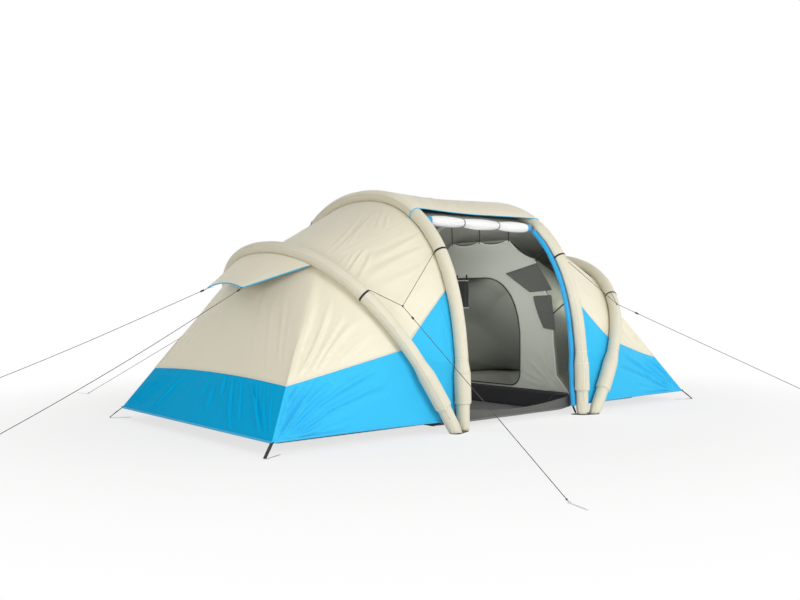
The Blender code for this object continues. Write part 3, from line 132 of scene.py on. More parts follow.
class Arch:
    """The smooth centre line of one air beam, with the CAD's stations."""

    def __init__(self, side, foot_x, top_x, half_width, height, powers, mid, seam, shoulder_y):
        self.side, self.foot_x, self.lean = side, foot_x, (top_x - foot_x) / height
        self.half_width, self.height, self.powers = half_width, height, powers
        levels = [FOOT_LIFT, 0.050, 0.084, 0.205, 0.215, 0.440, 0.540, mid, seam]
        leg = [math.asin((z / height) ** (1 / powers[1])) for z in levels]
        top = math.acos((shoulder_y / half_width) ** (1 / powers[0]))
        front = leg + list(np.linspace(leg[-1], top, 5)[1:])
        crown = list(np.linspace(top, math.pi - top, 7)[1:-1])
        self.turns = np.array(front + crown + [math.pi - t for t in reversed(front)])
        self.across = unit(np.array([side, 0.0, -self.lean]))

    def point(self, turn):
        level = self.height * np.abs(np.sin(turn)) ** self.powers[1]
        swing = np.sign(np.cos(turn)) * np.abs(np.cos(turn)) ** self.powers[0]
        return np.stack([self.side * (self.foot_x + self.lean * level), -self.half_width * swing, level],
                        -1)

    def frame(self, s):
        s = np.asarray(s, float)
        turn = np.interp(s, np.arange(LAST + 1), self.turns)
        centre = self.point(turn)
        run = unit(self.point(turn + 1e-4) - self.point(turn - 1e-4))
        inward = np.cross(self.across, run)
        flip = np.sign(((self.point(math.pi / 2) * 0.5 - centre) * inward).sum(-1, keepdims=True))
        return centre, inward * flip, run

    def at(self, s, degrees, radius):
        centre, inward, _ = self.frame(s)
        turn = np.radians(np.asarray(degrees, float))[..., None]
        radius = np.asarray(radius, float)[..., None]
        return centre + (inward * np.cos(turn) + self.across * np.sin(turn)) * radius

    def even(self, low, high, pitch):
        """Stations from low to high, spaced evenly along the tube."""
        s = np.linspace(low, high, 1200)
        length = lengths_along(self.frame(s)[0])
        count = max(int(round(length[-1] / pitch)), 2)
        return np.interp(np.linspace(0, length[-1], count + 1), length, s)

    def station_at(self, level, front=1):
        s = np.linspace(0, SHOULDER + 3, 4000)
        found = float(np.interp(level, self.frame(s)[0][:, 2], s))
        return found if front == 1 else LAST - found


MAIN = {k: Arch(k, 0.728, 0.728, 1.246, 1.90, (0.905, 0.671), 0.82, 1.10, 0.70) for k in (-1, 1)}
END = {k: Arch(k, 0.838, 1.726, 1.287, 1.42, (0.930, 0.725), 0.60, 0.66, 0.62) for k in (-1, 1)}


def seat(s):
    near = np.minimum(s, LAST - np.asarray(s, float))
    return TUBE + (BOOT - TUBE) * (1 - smoothstep(5.0, 6.0, near)) + GAP


def main_line(side, s):
    return MAIN[side].at(s, 36.0, seat(s))


def end_line(side, s):
    return END[side].at(s, 0.0, seat(s))


def living_line(side, s):
    return MAIN[side].at(s, -36.0, seat(s))


def wobble(p, scale, seed):
    """A smooth random field from crossed waves, from -1 to 1."""
    total = np.zeros(p.shape[:-1])
    rng = np.random.default_rng(seed)
    for _ in range(7):
        way = rng.normal(size=3)
        way *= scale * rng.uniform(0.6, 1.7) / np.linalg.norm(way)
        total = total + np.sin(p @ way + rng.uniform(0, 6.28))
    return total / 4.0


def spokes(p, apex, first, toward, angles, length, size, width, seed=1):
    """Narrow folds that run out from a corner; angles are degrees from the first direction."""
    rng = np.random.default_rng(seed)
    apex, first = np.array(apex, float), unit(np.array(first, float))
    second = np.array(toward, float)
    second = unit(second - first * (second @ first))
    d = p - apex
    a, b = d @ first, d @ second
    total = np.zeros(p.shape[:-1])
    for angle in angles:
        turn = math.radians(angle + rng.uniform(-1.6, 1.6))
        reach = length * rng.uniform(0.55, 1.1)
        along = a * math.cos(turn) + b * math.sin(turn)
        off = b * math.cos(turn) - a * math.sin(turn) - along**2 * rng.uniform(-0.10, 0.10)
        spread = width * (0.45 + 1.2 * np.clip(along, 0, None) / length)
        body = smoothstep(0.0, 0.07, along) * (1 - smoothstep(0.30 * reach, reach, along))
        crest = np.exp(-((off / spread) ** 2)) - 0.55 * np.exp(-(((off - 1.7 * spread) / spread) ** 2))
        total = total + size * rng.uniform(0.6, 1.15) * body * crest
    return total


def creases(grid, folds, size, width, seed=1):
    """Folds of a panel: each has two ends as shares of the rows and columns, a strength and a breadth."""
    rng = np.random.default_rng(seed)
    n, m = grid.shape[:2]
    normal = normals_of(grid)
    total = np.zeros((n, m))
    for row0, column0, row1, column1, strength, broad in folds:
        start = grid[int(round(row0 * (n - 1))), int(round(column0 * (m - 1)))]
        end = grid[int(round(row1 * (n - 1))), int(round(column1 * (m - 1)))]
        length = np.linalg.norm(end - start)
        run = (end - start) / length
        side = np.cross(normal, run)
        d = grid - start
        along = d @ run / length
        off = ((d - (d @ run)[..., None] * run) * side).sum(-1)
        off = off - 0.05 * length * rng.uniform(-1, 1) * along * (1 - along) * 4
        spread = width * broad * (0.6 + 0.6 * np.clip(along, 0, 1))
        body = np.sin(np.pi * np.clip(along, 0, 1) ** 0.75) ** 0.55
        crest = np.exp(-((off / spread) ** 2)) - 0.6 * np.exp(-(((off - 1.6 * spread) / spread) ** 2))
        total = total + size * strength * rng.uniform(0.85, 1.1) * body * crest
    return total


def mirrored_creases(grid, folds, size, width, seed, axis=0):
    """The same folds from both ends of an axis, each side with its own small differences."""
    far = creases(np.flip(grid, axis), folds, size, width, seed + 1)
    return creases(grid, folds, size, width, seed) + np.flip(far, axis)


def soften(mesh, start, end, reach, low, high):
    """Rounds a ridge of a mesh between two points, from a low to a high share of its length."""
    co = np.array([v.co for v in mesh.vertices])
    edges = np.array([e.vertices for e in mesh.edges])
    start, end = np.array(start, float), np.array(end, float)
    run = end - start
    share = np.clip((co - start) @ run / (run @ run), 0, 1)
    away = np.linalg.norm(co - (start + share[:, None] * run), axis=1)
    weight = (1 - smoothstep(0.2 * reach, reach, away)) * smoothstep(low, high, share)
    weight = weight * (1 - smoothstep(0.93, 1.0, share))
    count = np.bincount(edges.ravel(), minlength=len(co))[:, None]
    for _ in range(30):
        total = np.zeros_like(co)
        np.add.at(total, edges[:, 0], co[edges[:, 1]])
        np.add.at(total, edges[:, 1], co[edges[:, 0]])
        co += 0.6 * weight[:, None] * (total / count - co)
    mesh.vertices.foreach_set("co", co.astype(np.float32).ravel())
    mesh.update()


def normals_of(grid):
    du = np.gradient(grid, axis=0)
    dv = np.gradient(grid, axis=1)
    return unit(np.cross(du, dv))


def grid_uv(grid):
    """Texture coordinates in metres along a grid's rows and columns."""
    du = np.linalg.norm(np.diff(grid, axis=0), axis=-1).mean(1)
    dv = np.linalg.norm(np.diff(grid, axis=1), axis=-1).mean(0)
    u = np.concatenate([[0], np.cumsum(du)])
    v = np.concatenate([[0], np.cumsum(dv)])
    return np.stack(np.meshgrid(u, v, indexing="ij"), -1)


def link(name, mesh, materials, body="tent", shade=True):
    """An object of a mesh that rides on a body and takes a material slot."""
    for made in materials:
        mesh.materials.append(made)
    if shade:
        mesh.shade_smooth()
    part = added(name, mesh)
    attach(part, body)
    return part


def mesh_of(name, patches, inside=None, weld=0.0002, closed=False):
    """One mesh from grids, each with or without its own uv, welded and turned away from a point."""
    points, faces, uvs = [], [], []
    for patch in patches:
        grid, uv = patch if isinstance(patch, tuple) else (patch, None)
        uv = grid_uv(grid) if uv is None else uv
        n, m = grid.shape[:2]
        base = len(points)
        points += grid.reshape(-1, 3).tolist()
        i, j = np.meshgrid(np.arange(n - 1), np.arange(m - 1), indexing="ij")
        a = (i * m + j).ravel()
        quads = np.stack([a, a + m, a + m + 1, a + 1], 1)
        flat = grid.reshape(-1, 3)
        if inside is not None:
            c = flat[quads].mean(1)
            n_ = np.cross(flat[quads[:, 2]] - flat[quads[:, 0]], flat[quads[:, 3]] - flat[quads[:, 1]])
            if (n_ * (c - np.array(inside))).sum() < 0:
                quads = quads[:, ::-1]
        faces += (quads + base).tolist()
        uvs += uv.reshape(-1, 2)[quads.ravel()].tolist()
    mesh = bpy.data.meshes.new(name)
    mesh.from_pydata(points, [], faces)
    layer = mesh.uv_layers.new(name="UVMap")
    layer.data.foreach_set("uv", np.array(uvs, np.float32).ravel())
    work = bmesh.new()
    work.from_mesh(mesh)
    bmesh.ops.remove_doubles(work, verts=work.verts, dist=weld)
    bmesh.ops.dissolve_degenerate(work, edges=work.edges, dist=weld / 4)
    if closed:
        bmesh.ops.recalc_face_normals(work, faces=work.faces)
    work.to_mesh(mesh)
    work.free()
    return mesh


def thicken(part, thickness, inner=0, offset=-1.0):
    """Gives cloth its thickness; inner is the step from a face's material to its back's."""
    step = part.modifiers.new("thickness", "SOLIDIFY")
    step.thickness = thickness
    step.offset = offset
    step.material_offset = inner
    return part


def round_edges(part, width, segments, angle=None):
    """A bevel on all edges, or on those that turn by more than an angle in degrees."""
    bevel = part.modifiers.new("edges", "BEVEL")
    bevel.width = width
    bevel.segments = segments
    if angle is not None:
        bevel.limit_method = "ANGLE"
        bevel.angle_limit = math.radians(angle)


def tube_grid(line, radius, sides):
    """Rings round a line of points; radius may change along it."""
    line = np.asarray(line, float)
    radius = np.broadcast_to(np.asarray(radius, float), (len(line),))
    run = unit(np.gradient(line, axis=0))
    first = np.cross(run[0], np.array([0.03, 0.02, 1.0]))
    if np.linalg.norm(first) < 1e-3:
        first = np.cross(run[0], np.array([1.0, 0.2, 0.1]))
    a = unit(first)
    rings = []
    angle = circle(sides + 1)[:, None]
    for k in range(len(line)):
        a = unit(a - run[k] * (a @ run[k]))
        b = np.cross(run[k], a)
        rings.append(line[k] + radius[k] * (np.cos(angle) * a + np.sin(angle) * b))
    return np.array(rings)


def capped(grid, start, end):
    """A tube's rings, closed to a point at each end."""
    caps = [np.repeat(np.asarray(tip)[None, None], grid.shape[1], 1) for tip in (start, end)]
    return np.concatenate([caps[0], grid, caps[1]])


def closed_piece(name, grid, material, body="tent", sharp=None, weld=1e-6):
    """A solid piece from one grid, with its edges left sharp beyond an angle in degrees."""
    part = link(name, mesh_of(name, [grid], weld=weld, closed=True), [material], body)
    if sharp is not None:
        part.data.set_sharp_from_angle(angle=math.radians(sharp))
    return part


def tube(name, line, radius, material, sides=12):
    grid = capped(tube_grid(line, radius, sides), line[0], line[-1])
    return closed_piece(name, grid, material, sharp=60, weld=1e-5)


def ribbon(name, line, across, width, thickness, material, body="tent", lift=0.0):
    """A flat strip along a line; across is its width direction, once or for each point."""
    line = np.asarray(line, float)
    length = lengths_along(line)
    uv = np.stack([np.stack([length, np.full_like(length, v)], -1) for v in (0.0, width)], 1)
    half = unit(np.asarray(across, float)) * width / 2
    grid = np.stack([line + lift - half, line + lift + half], 1)
    part = link(name, mesh_of(name, [(grid, uv)], weld=1e-6), [material], body)
    return thicken(part, thickness, offset=0.0)


def lathe(name, origin, axis, profile, material, sides=32):
    """A turned piece: profile points are (height along the axis, radius)."""
    turn = np.array(Vector(axis).normalized().to_track_quat("Z", "Y").to_matrix())
    angle = circle(sides + 1)
    rings = []
    for height, radius in profile:
        local = np.stack([radius * np.cos(angle), radius * np.sin(angle), np.full_like(angle, height)], -1)
        rings.append(np.array(origin) + local @ turn.T)
    return closed_piece(name, np.array(rings), material, sharp=50)


def flat_mesh(name, outline, holes, step, place):
    """A cloth panel cut to an outline with holes, in small triangles; place sets its flat points in space."""
    loops = [np.array(outline, float)] + [np.array(h, float) for h in holes]
    points, edges = [], []
    for loop in loops:
        dense = []
        for a, b in zip(loop, np.roll(loop, -1, axis=0)):
            count = max(int(np.linalg.norm(b - a) / step), 1)
            dense += [a + (b - a) * k / count for k in range(count)]
        base = len(points)
        points += [Vector(p) for p in dense]
        edges += [(base + k, base + (k + 1) % len(dense)) for k in range(len(dense))]
    edge_points = np.array(points)
    low, high = loops[0].min(0), loops[0].max(0)
    xs = np.arange(low[0] + step / 2, high[0], step)
    ys = np.arange(low[1] + step / 2, high[1], step * 0.87)
    gx, gy = np.meshgrid(xs, ys)
    gx = gx + (np.arange(len(ys)) % 2)[:, None] * step / 2
    cloud = np.stack([gx.ravel(), gy.ravel()], -1)
    cloud = cloud[in_loops(cloud, loops)]
    far = np.array([np.min(np.abs(edge_points - c).max(1)) > step * 0.45 for c in cloud], bool)
    points += [Vector(p) for p in cloud[far]]
    made, _, triangles, *_ = delaunay_2d_cdt(points, edges, [], 0, 1e-6)
    flat = np.array([list(p) for p in made])
    middles = np.array([flat[list(t)].mean(0) for t in triangles])
    inside = in_loops(middles, loops)
    triangles = [list(t) for t, ok in zip(triangles, inside) if ok]
    mesh = bpy.data.meshes.new(name)
    mesh.from_pydata(place(flat).tolist(), [], triangles)
    layer = mesh.uv_layers.new(name="UVMap")
    layer.data.foreach_set("uv", flat[np.array(triangles).ravel()].astype(np.float32).ravel())
    work = bmesh.new()
    work.from_mesh(mesh)
    bmesh.ops.delete(work, geom=[v for v in work.verts if not v.link_faces], context="VERTS")
    work.to_mesh(mesh)
    work.free()
    return mesh


def in_loops(points, loops):
    """True for points inside the first loop and outside the others."""
    result = np.zeros(len(points), bool)
    for loop in loops:
        inside = np.zeros(len(points), bool)
        for a, b in zip(loop, np.roll(loop, -1, axis=0)):
            crosses = (a[1] > points[:, 1]) != (b[1] > points[:, 1])
            rise = b[1] - a[1] if abs(b[1] - a[1]) > 1e-12 else 1e-12
            x = a[0] + (points[:, 1] - a[1]) / rise * (b[0] - a[0])
            inside ^= crosses & (points[:, 0] < x)
        result ^= inside
    return result


# Materials; a wave texture of scale 1 has its bands this far apart
BAND_PITCH = 0.3142


class Mat:
    """A Principled material and short ways to add nodes to it."""

    def __init__(self, name, colour, roughness=0.6, metallic=0.0, sheen=0.0, specular=0.35):
        self.data = bpy.data.materials.new(name)
        self.data.use_nodes = True
        self.tree = self.data.node_tree
        self.shader = self.tree.nodes["Principled BSDF"]
        self.colour = colour
        values = {"Base Color": (*colour, 1), "Roughness": roughness, "Metallic": metallic,
                  "Sheen Weight": sheen, "Specular IOR Level": specular}
        for key, value in values.items():
            self.shader.inputs[key].default_value = value
        self.coords = self.add("ShaderNodeTexCoord")
        self.last_bump = None

    def add(self, kind, **values):
        node = self.tree.nodes.new(kind)
        for key, value in values.items():
            if hasattr(node, key):
                setattr(node, key, value)
            else:
                node.inputs[key].default_value = value
        return node

    def join(self, a, b):
        self.tree.links.new(a, b)

    def mapped(self, space="Object", rotation=(0, 0, 0)):
        node = self.add("ShaderNodeMapping", Rotation=rotation)
        self.join(self.coords.outputs[space], node.inputs["Vector"])
        return node.outputs["Vector"]

    def noise(self, vector, scale, detail=3.0, distortion=0.0, roughness=0.5):
        node = self.add("ShaderNodeTexNoise", Scale=scale, Detail=detail, Distortion=distortion,
                        Roughness=roughness)
        self.join(vector, node.inputs["Vector"])
        return node.outputs["Fac"]

    def wave(self, vector, scale, way="X"):
        node = self.add("ShaderNodeTexWave", bands_direction=way, wave_profile="SIN", Scale=scale,
                        Distortion=0.0)
        self.join(vector, node.inputs["Vector"])
        return node.outputs["Fac"]

    def threads(self, operation, vector, pitch):
        """Two crossed rows of bands, a pitch apart."""
        scale = BAND_PITCH / pitch
        return self.math(operation, self.wave(vector, scale, "X"), self.wave(vector, scale, "Y"))

    def math(self, operation, a, b=0.0):
        node = self.add("ShaderNodeMath", operation=operation)
        for k, value in enumerate((a, b)):
            if isinstance(value, (int, float)):
                node.inputs[k].default_value = value
            else:
                self.join(value, node.inputs[k])
        return node.outputs[0]

    def ramp(self, value, low, high, least=0.0, most=1.0):
        node = self.add("ShaderNodeMapRange", interpolation_type="SMOOTHSTEP")
        for key, number in (("From Min", low), ("From Max", high), ("To Min", least), ("To Max", most)):
            node.inputs[key].default_value = number
        self.join(value, node.inputs["Value"])
        return node.outputs["Result"]

    def bump(self, height, strength, distance):
        node = self.add("ShaderNodeBump", Strength=strength, Distance=distance)
        self.join(height, node.inputs["Height"])
        if self.last_bump is not None:
            self.join(self.last_bump, node.inputs["Normal"])
        self.last_bump = node.outputs["Normal"]
        self.join(self.last_bump, self.shader.inputs["Normal"])

    def mix(self, fac, first, second):
        """Makes the base colour a mix of two colours by a factor."""
        node = self.add("ShaderNodeMix", data_type="RGBA")
        node.inputs[6].default_value = (*first, 1)
        node.inputs[7].default_value = (*second, 1)
        self.join(fac, node.inputs[0])
        self.join(node.outputs[2], self.shader.inputs["Base Color"])

    def tint(self, fac, dark, light):
        """Mixes the base colour from dark to light shares of itself by a factor."""
        self.mix(fac, *[[min(c * share, 1.0) for c in self.colour] for share in (dark, light)])


def fabric(name, colour, roughness=0.55, sheen=0.15, weave=0.0016, crumple=0.5, size=6.0, vary=0.05,
           grid=0.0, specular=0.3):
    """Woven tent cloth: fine weave, slight crumple, and a little unevenness in its colour."""
    m = Mat(name, colour, roughness, sheen=sheen, specular=specular)
    flat = m.mapped("UV")
    m.bump(m.noise(m.mapped(), size, 4.0, 0.9, 0.55), crumple, 0.012)
    m.bump(m.noise(m.mapped(), size * 5, 3.0, 0.6), crumple * 0.5, 0.0015)
    m.bump(m.threads("MULTIPLY", flat, weave), 0.25, weave * 0.25)
    if grid:
        m.bump(m.math("POWER", m.threads("MAXIMUM", flat, grid), 24.0), 0.3, 0.0003)
    fine = m.noise(m.mapped(), 180.0, 2.0)
    broad = m.noise(m.mapped(), 2.2, 3.0)
    patchy = m.math("ADD", m.math("MULTIPLY", fine, 0.35), m.math("MULTIPLY", broad, 0.65))
    m.tint(patchy, 1 - vary, 1 + vary)
    rough = m.add("ShaderNodeMapRange")
    rough.inputs["To Min"].default_value = max(roughness - 0.07, 0.05)
    rough.inputs["To Max"].default_value = min(roughness + 0.07, 1.0)
    m.join(broad, rough.inputs["Value"])
    m.join(rough.outputs["Result"], m.shader.inputs["Roughness"])
    return m.data


def webbing(name, colour):
    """Narrow woven tape with a slanting rib."""
    m = Mat(name, colour, 0.7, sheen=0.2)
    flat = m.mapped("UV", rotation=(0, 0, math.radians(35)))
    m.bump(m.wave(flat, BAND_PITCH / 0.0022), 0.5, 0.0004)
    m.tint(m.noise(m.mapped("UV"), 260.0, 2.0), 0.75, 1.5)
    return m.data


def stitched(name, colour, thread, width):
    """A flat seam tape with two rows of stitches."""
    m = Mat(name, colour, 0.6, sheen=0.1)
    split = m.add("ShaderNodeSeparateXYZ")
    m.join(m.mapped("UV"), split.inputs[0])
    dash = m.ramp(m.wave(m.mapped("UV"), BAND_PITCH / 0.007), 0.25, 0.4)
    off_rows = [m.math("ABSOLUTE", m.math("SUBTRACT", split.outputs[1], width * at)) for at in (0.22, 0.78)]
    near = [m.math("LESS_THAN", off, 0.0007) for off in off_rows]
    fac = m.math("MULTIPLY", m.math("MAXIMUM", *near), dash)
    m.mix(fac, colour, thread)
    m.bump(fac, 0.6, 0.0006)
    m.bump(m.noise(m.mapped(), 60.0, 2.0), 0.2, 0.001)
    return m.data


def moulded(name, colour, roughness=0.4, metallic=0.0, grain=240.0, depth=0.0001):
    """Moulded plastic or drawn metal with a fine surface grain."""
    m = Mat(name, colour, roughness, metallic)
    fine = m.noise(m.mapped(), grain, 3.0)
    m.bump(fine, 0.35, depth)
    m.tint(m.noise(m.mapped(), 35.0, 2.0), 0.92, 1.08)
    return m.data


def braid(name, colour, fleck):
    """A round braided cord with a fleck thread."""
    m = Mat(name, colour, 0.75, sheen=0.2)
    strands = [m.wave(m.mapped(rotation=turn), 70.0, "DIAGONAL") for turn in ((0.5, 0.7, 0.3), (0, 0, 0))]
    cross = m.math("MULTIPLY", *strands)
    m.bump(cross, 0.6, 0.0006)
    m.mix(m.ramp(cross, 0.75, 0.95), colour, fleck)
    return m.data


def mesh_cloth(name, colour):
    """Fine netting: a dark cloth with a lighter grid of threads."""
    m = Mat(name, colour, 0.8, sheen=0.1)
    lines = m.threads("MAXIMUM", m.mapped("UV"), 0.004)
    m.tint(m.math("POWER", lines, 4.0), 0.85, 1.25)
    m.bump(m.math("POWER", lines, 3.0), 0.5, 0.0005)
    m.bump(m.noise(m.mapped(), 8.0, 3.0), 0.4, 0.01)
    return m.data


BEIGE = (0.800, 0.757, 0.610)
BLUE = (0.045, 0.510, 0.865)
# The end-wall blue is a darker, deeper copy of BLUE for the skirts' end walls, painted shade; BLUE on the
# flanks is the lit copy of the same cloth.
SHADED_END_BLUE = (0.002, 0.420, 0.800)
CANVAS = fabric("canvas_cloth", BEIGE, 0.52, grid=0.006)
SLEEVE = fabric("sleeve_cloth", (0.700, 0.664, 0.538), 0.55, crumple=0.32, size=9.0)
SKIRT = fabric("blue_cloth", BLUE, 0.42, sheen=0.0, crumple=0.3, grid=0.006, specular=0.04)
# The skirts' end walls get the darker blue copy with less reflection: painted shade.
SHADED_SKIRT_END = fabric("blue_end_painted_shade_cloth", SHADED_END_BLUE, 0.50, sheen=0.0, crumple=0.3, grid=0.006, specular=0.01)
FLAP = fabric("flap_cloth", (0.02, 0.36, 0.72), 0.45, crumple=0.4, size=14.0, specular=0.25)
COATING = fabric("inner_coating", (0.400, 0.405, 0.360), 0.6, crumple=0.5)
LINING = fabric("skirt_coating", (0.270, 0.310, 0.330), 0.6, crumple=0.5)
INNER = fabric("bedroom_cloth", (0.480, 0.500, 0.445), 0.75, sheen=0.2, crumple=0.35, size=5.0)
INNER_DARK = fabric("bedroom_back", (0.270, 0.280, 0.240), 0.8, crumple=0.5, size=4.0)
CEILING = fabric("ceiling_cloth", (0.300, 0.300, 0.270), 0.7, crumple=0.4)
WHITE = fabric("white_cloth", (0.82, 0.825, 0.825), 0.38, crumple=0.7, size=16.0, vary=0.03, specular=0.4)
GROUND = fabric("groundsheet_cloth", (0.026, 0.026, 0.030), 0.42, crumple=0.6, size=5.0, weave=0.0025)
SILL = fabric("sill_cloth", (0.092, 0.092, 0.090), 0.5, crumple=0.5, size=8.0)
POUCH = fabric("pouch_cloth", (0.030, 0.030, 0.028), 0.7, crumple=0.6, size=18.0)
NET = mesh_cloth("netting", (0.098, 0.101, 0.092))
BINDING = stitched("binding_tape", (0.66, 0.67, 0.62), (0.80, 0.80, 0.75), 0.014)
EDGE_TAPE = stitched("edge_tape", (0.090, 0.092, 0.082), (0.16, 0.16, 0.15), 0.012)
SEAM_TAPE = stitched("seam_tape", BEIGE, (0.68, 0.64, 0.52), 0.014)
BLUE_TAPE = stitched("blue_seam_tape", BLUE, (0.02, 0.30, 0.62), 0.014)
PIPING = fabric("piping_cloth", (0.03, 0.46, 0.74), 0.45, crumple=0.2, weave=0.001, size=30.0)
BLACK = webbing("black_webbing", (0.012, 0.012, 0.013))
ROPE = braid("guyline_braid", (0.035, 0.035, 0.036), (0.16, 0.16, 0.15))
PLASTIC = moulded("black_plastic", (0.022, 0.022, 0.024), 0.42)
STEEL = moulded("peg_metal", (0.55, 0.56, 0.57), 0.32, 1.0, 400.0, 0.00005)
FILM = moulded("air_film_sheet", (0.62, 0.66, 0.69), 0.28, 0.0, 60.0, 0.0004)
ZIP = moulded("zip_metal", (0.10, 0.10, 0.105), 0.35, 0.8)
ZIP_TAPE = webbing("zip_tape", (0.030, 0.031, 0.028))


# Guylines come first: their routes repeat the CAD's
def line_end(start, peg):
    """Where a line from its start ends, on the wire of its peg."""
    flat = Vector((start.x - peg.x, start.y - peg.y, 0)).normalized()
    wire = peg - flat * PEG_WIRE + Vector((0, 0, PEG_WIRE))
    return wire + (start - wire).normalized() * (PEG_WIRE + GAP)


def bridle_start(arch, level, front, knot):
    """Where a bridle's arm leaves the band of a beam."""
    s = arch.station_at(level, front)
    centre, _, run = (Vector(v) for v in arch.frame(s))
    arm = (knot - centre).normalized()
    out = (arm - run * arm.dot(run)).normalized()
    return centre + out * (TUBE + 0.0016 + CORD * math.sqrt(1 - out.dot(arm) ** 2) + GAP)


def straight(a, b):
    count = max(int((b - a).length / 0.05), 2)
    return [a.lerp(b, k / count) for k in range(count + 1)]


def cord_piece(name, points, replaces=()):
    part = tube(name, [list(p) for p in points], CORD, ROPE, sides=10)
    if replaces:
        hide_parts(*replaces)
    return part


def knot_piece(name, at, run, size):
    """An overhand knot: one strand wound on itself."""
    turn = np.array(Vector(run).normalized().to_track_quat("Z", "Y").to_matrix())
    t = circle(49)
    x, y = np.sin(t) + 2 * np.sin(2 * t), np.cos(t) - 2 * np.cos(2 * t)
    line = np.stack([x, y, -1.4 * np.sin(3 * t)], -1) * size / 3.4
    grid = tube_grid(np.array(at) + line @ turn.T, 0.0021, 8)
    return link(name, mesh_of(name, [grid], weld=1e-6), [ROPE])


def peg_piece(name, place, run):
    """A wire peg laid on the ground, with a hooked head."""
    run = Vector(run).normalized()
    across = Vector((-run.y, run.x, 0.0))
    centre = Vector(place) + Vector((0, 0, PEG_WIRE))
    points = []
    for k in range(17):
        angle = math.pi * (0.15 + 0.85 * k / 16)
        offset = (across * math.cos(angle) - run * math.sin(angle)) * PEG_HOOK
        points.append(centre + run * 0.012 + offset)
    tail = centre + run * 0.18 - across * PEG_HOOK
    points += [points[-1].lerp(tail, k / 8) for k in range(1, 9)]
    radius = np.full(len(points), PEG_WIRE)
    radius[-2:] = (0.0026, 0.0012)
    part = tube(name, [list(p) for p in points], radius, STEEL)
    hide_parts(name.replace("wire_", ""))


def polish(node, material, width=0.0006):
    """A CAD node that stays, with rounded edges and its own finish."""
    part = NODES[node]
    part.data.materials.clear()
    part.data.materials.append(material)
    round_edges(part, width, 2, 35)
    return part


def make_lines():
    for side in (-1, 1):
        for front in (1, -1):
            tag = "%s_%s" % (facing(front), hand(side))
            knot = Vector(quarter(BRIDLE_KNOT, side, front))
            peg = Vector(quarter(BRIDLE_PEG, side, front))
            a = bridle_start(MAIN[side], BAND_LEVELS["main"], front, knot)
            b = bridle_start(END[side], BAND_LEVELS["end"], front, knot)
            arms = straight(a, knot) + straight(knot, b)[1:]
            bridle = cord_piece("bridle_" + tag, arms, ["guyline_" + tag])
            end = line_end(knot, peg)
            run = straight(knot, end)
            line = cord_piece("line_" + tag, run)
            way = (end - knot).normalized()
            ball = knot_piece("bridle_knot_" + tag, knot, way, 0.0075)
            tie = knot_piece("line_knot_" + tag, end - way * 0.02, way, 0.005)
            flat = Vector((peg.x - knot.x, peg.y - knot.y, 0)).normalized()
            peg_piece("wire_peg_" + tag, peg, flat)
            runner = polish("runner_" + tag, PLASTIC)
            make_hood_line(side, front, tag)
            place = quarter((HEM.x + CORNER_PEG_OUT[0], HEM.y + CORNER_PEG_OUT[1]), side, front)
            peg_piece("wire_corner_peg_" + tag, place, (-side * HEM.x, front * HEM.y, 0))


def make_hood_line(side, front, tag):
    """A line from a hood's tip to its peg, with a little sag."""
    tip = Vector(quarter(HOOD_TIP, side, front))
    peg = Vector(quarter(HOOD_PEGS[side], side, front))
    start = tip + (peg - tip).normalized() * 3 * GAP
    end = line_end(start, peg)
    drop = 0.11 * (end - start).length / (4.65 - 2.081)
    shares = np.concatenate([np.linspace(0, 0.22, 5)[:-1], np.linspace(0.22, 1, 33)])
    points = []
    for u in shares:
        slack = drop * u - (drop * ((u - 0.22) / 0.78) ** 2 if u > 0.22 else 0.0)
        points.append(start.lerp(end, u) - Vector((0, 0, slack)))
    line = cord_piece("hood_guy_" + tag, points, ["hood_line_" + tag])
    way = (points[-1] - points[-2]).normalized()
    tie = knot_piece("hood_knot_" + tag, points[-1] - way * 0.02, way, 0.005)
    flat = Vector((peg.x - start.x, peg.y - start.y, 0)).normalized()
    peg_piece("wire_hood_peg_" + tag, peg, flat)
    runner = polish("hood_runner_" + tag, PLASTIC)


make_lines()


def sleeve_radius(arch, s):
    """The sleeve's radius: pinched foot, wide boot with a step, and the plain tube."""
    z = arch.frame(s)[0][..., 2]
    r = np.full(np.shape(s), TUBE - 0.0004)
    r = r + (BOOT - TUBE) * (smoothstep(0.205, 0.215, z) - smoothstep(0.430, 0.545, z))
    r = r - (TUBE - FOOT) * (1 - smoothstep(FOOT_LIFT, 0.055, z)) ** 1.3
    return r


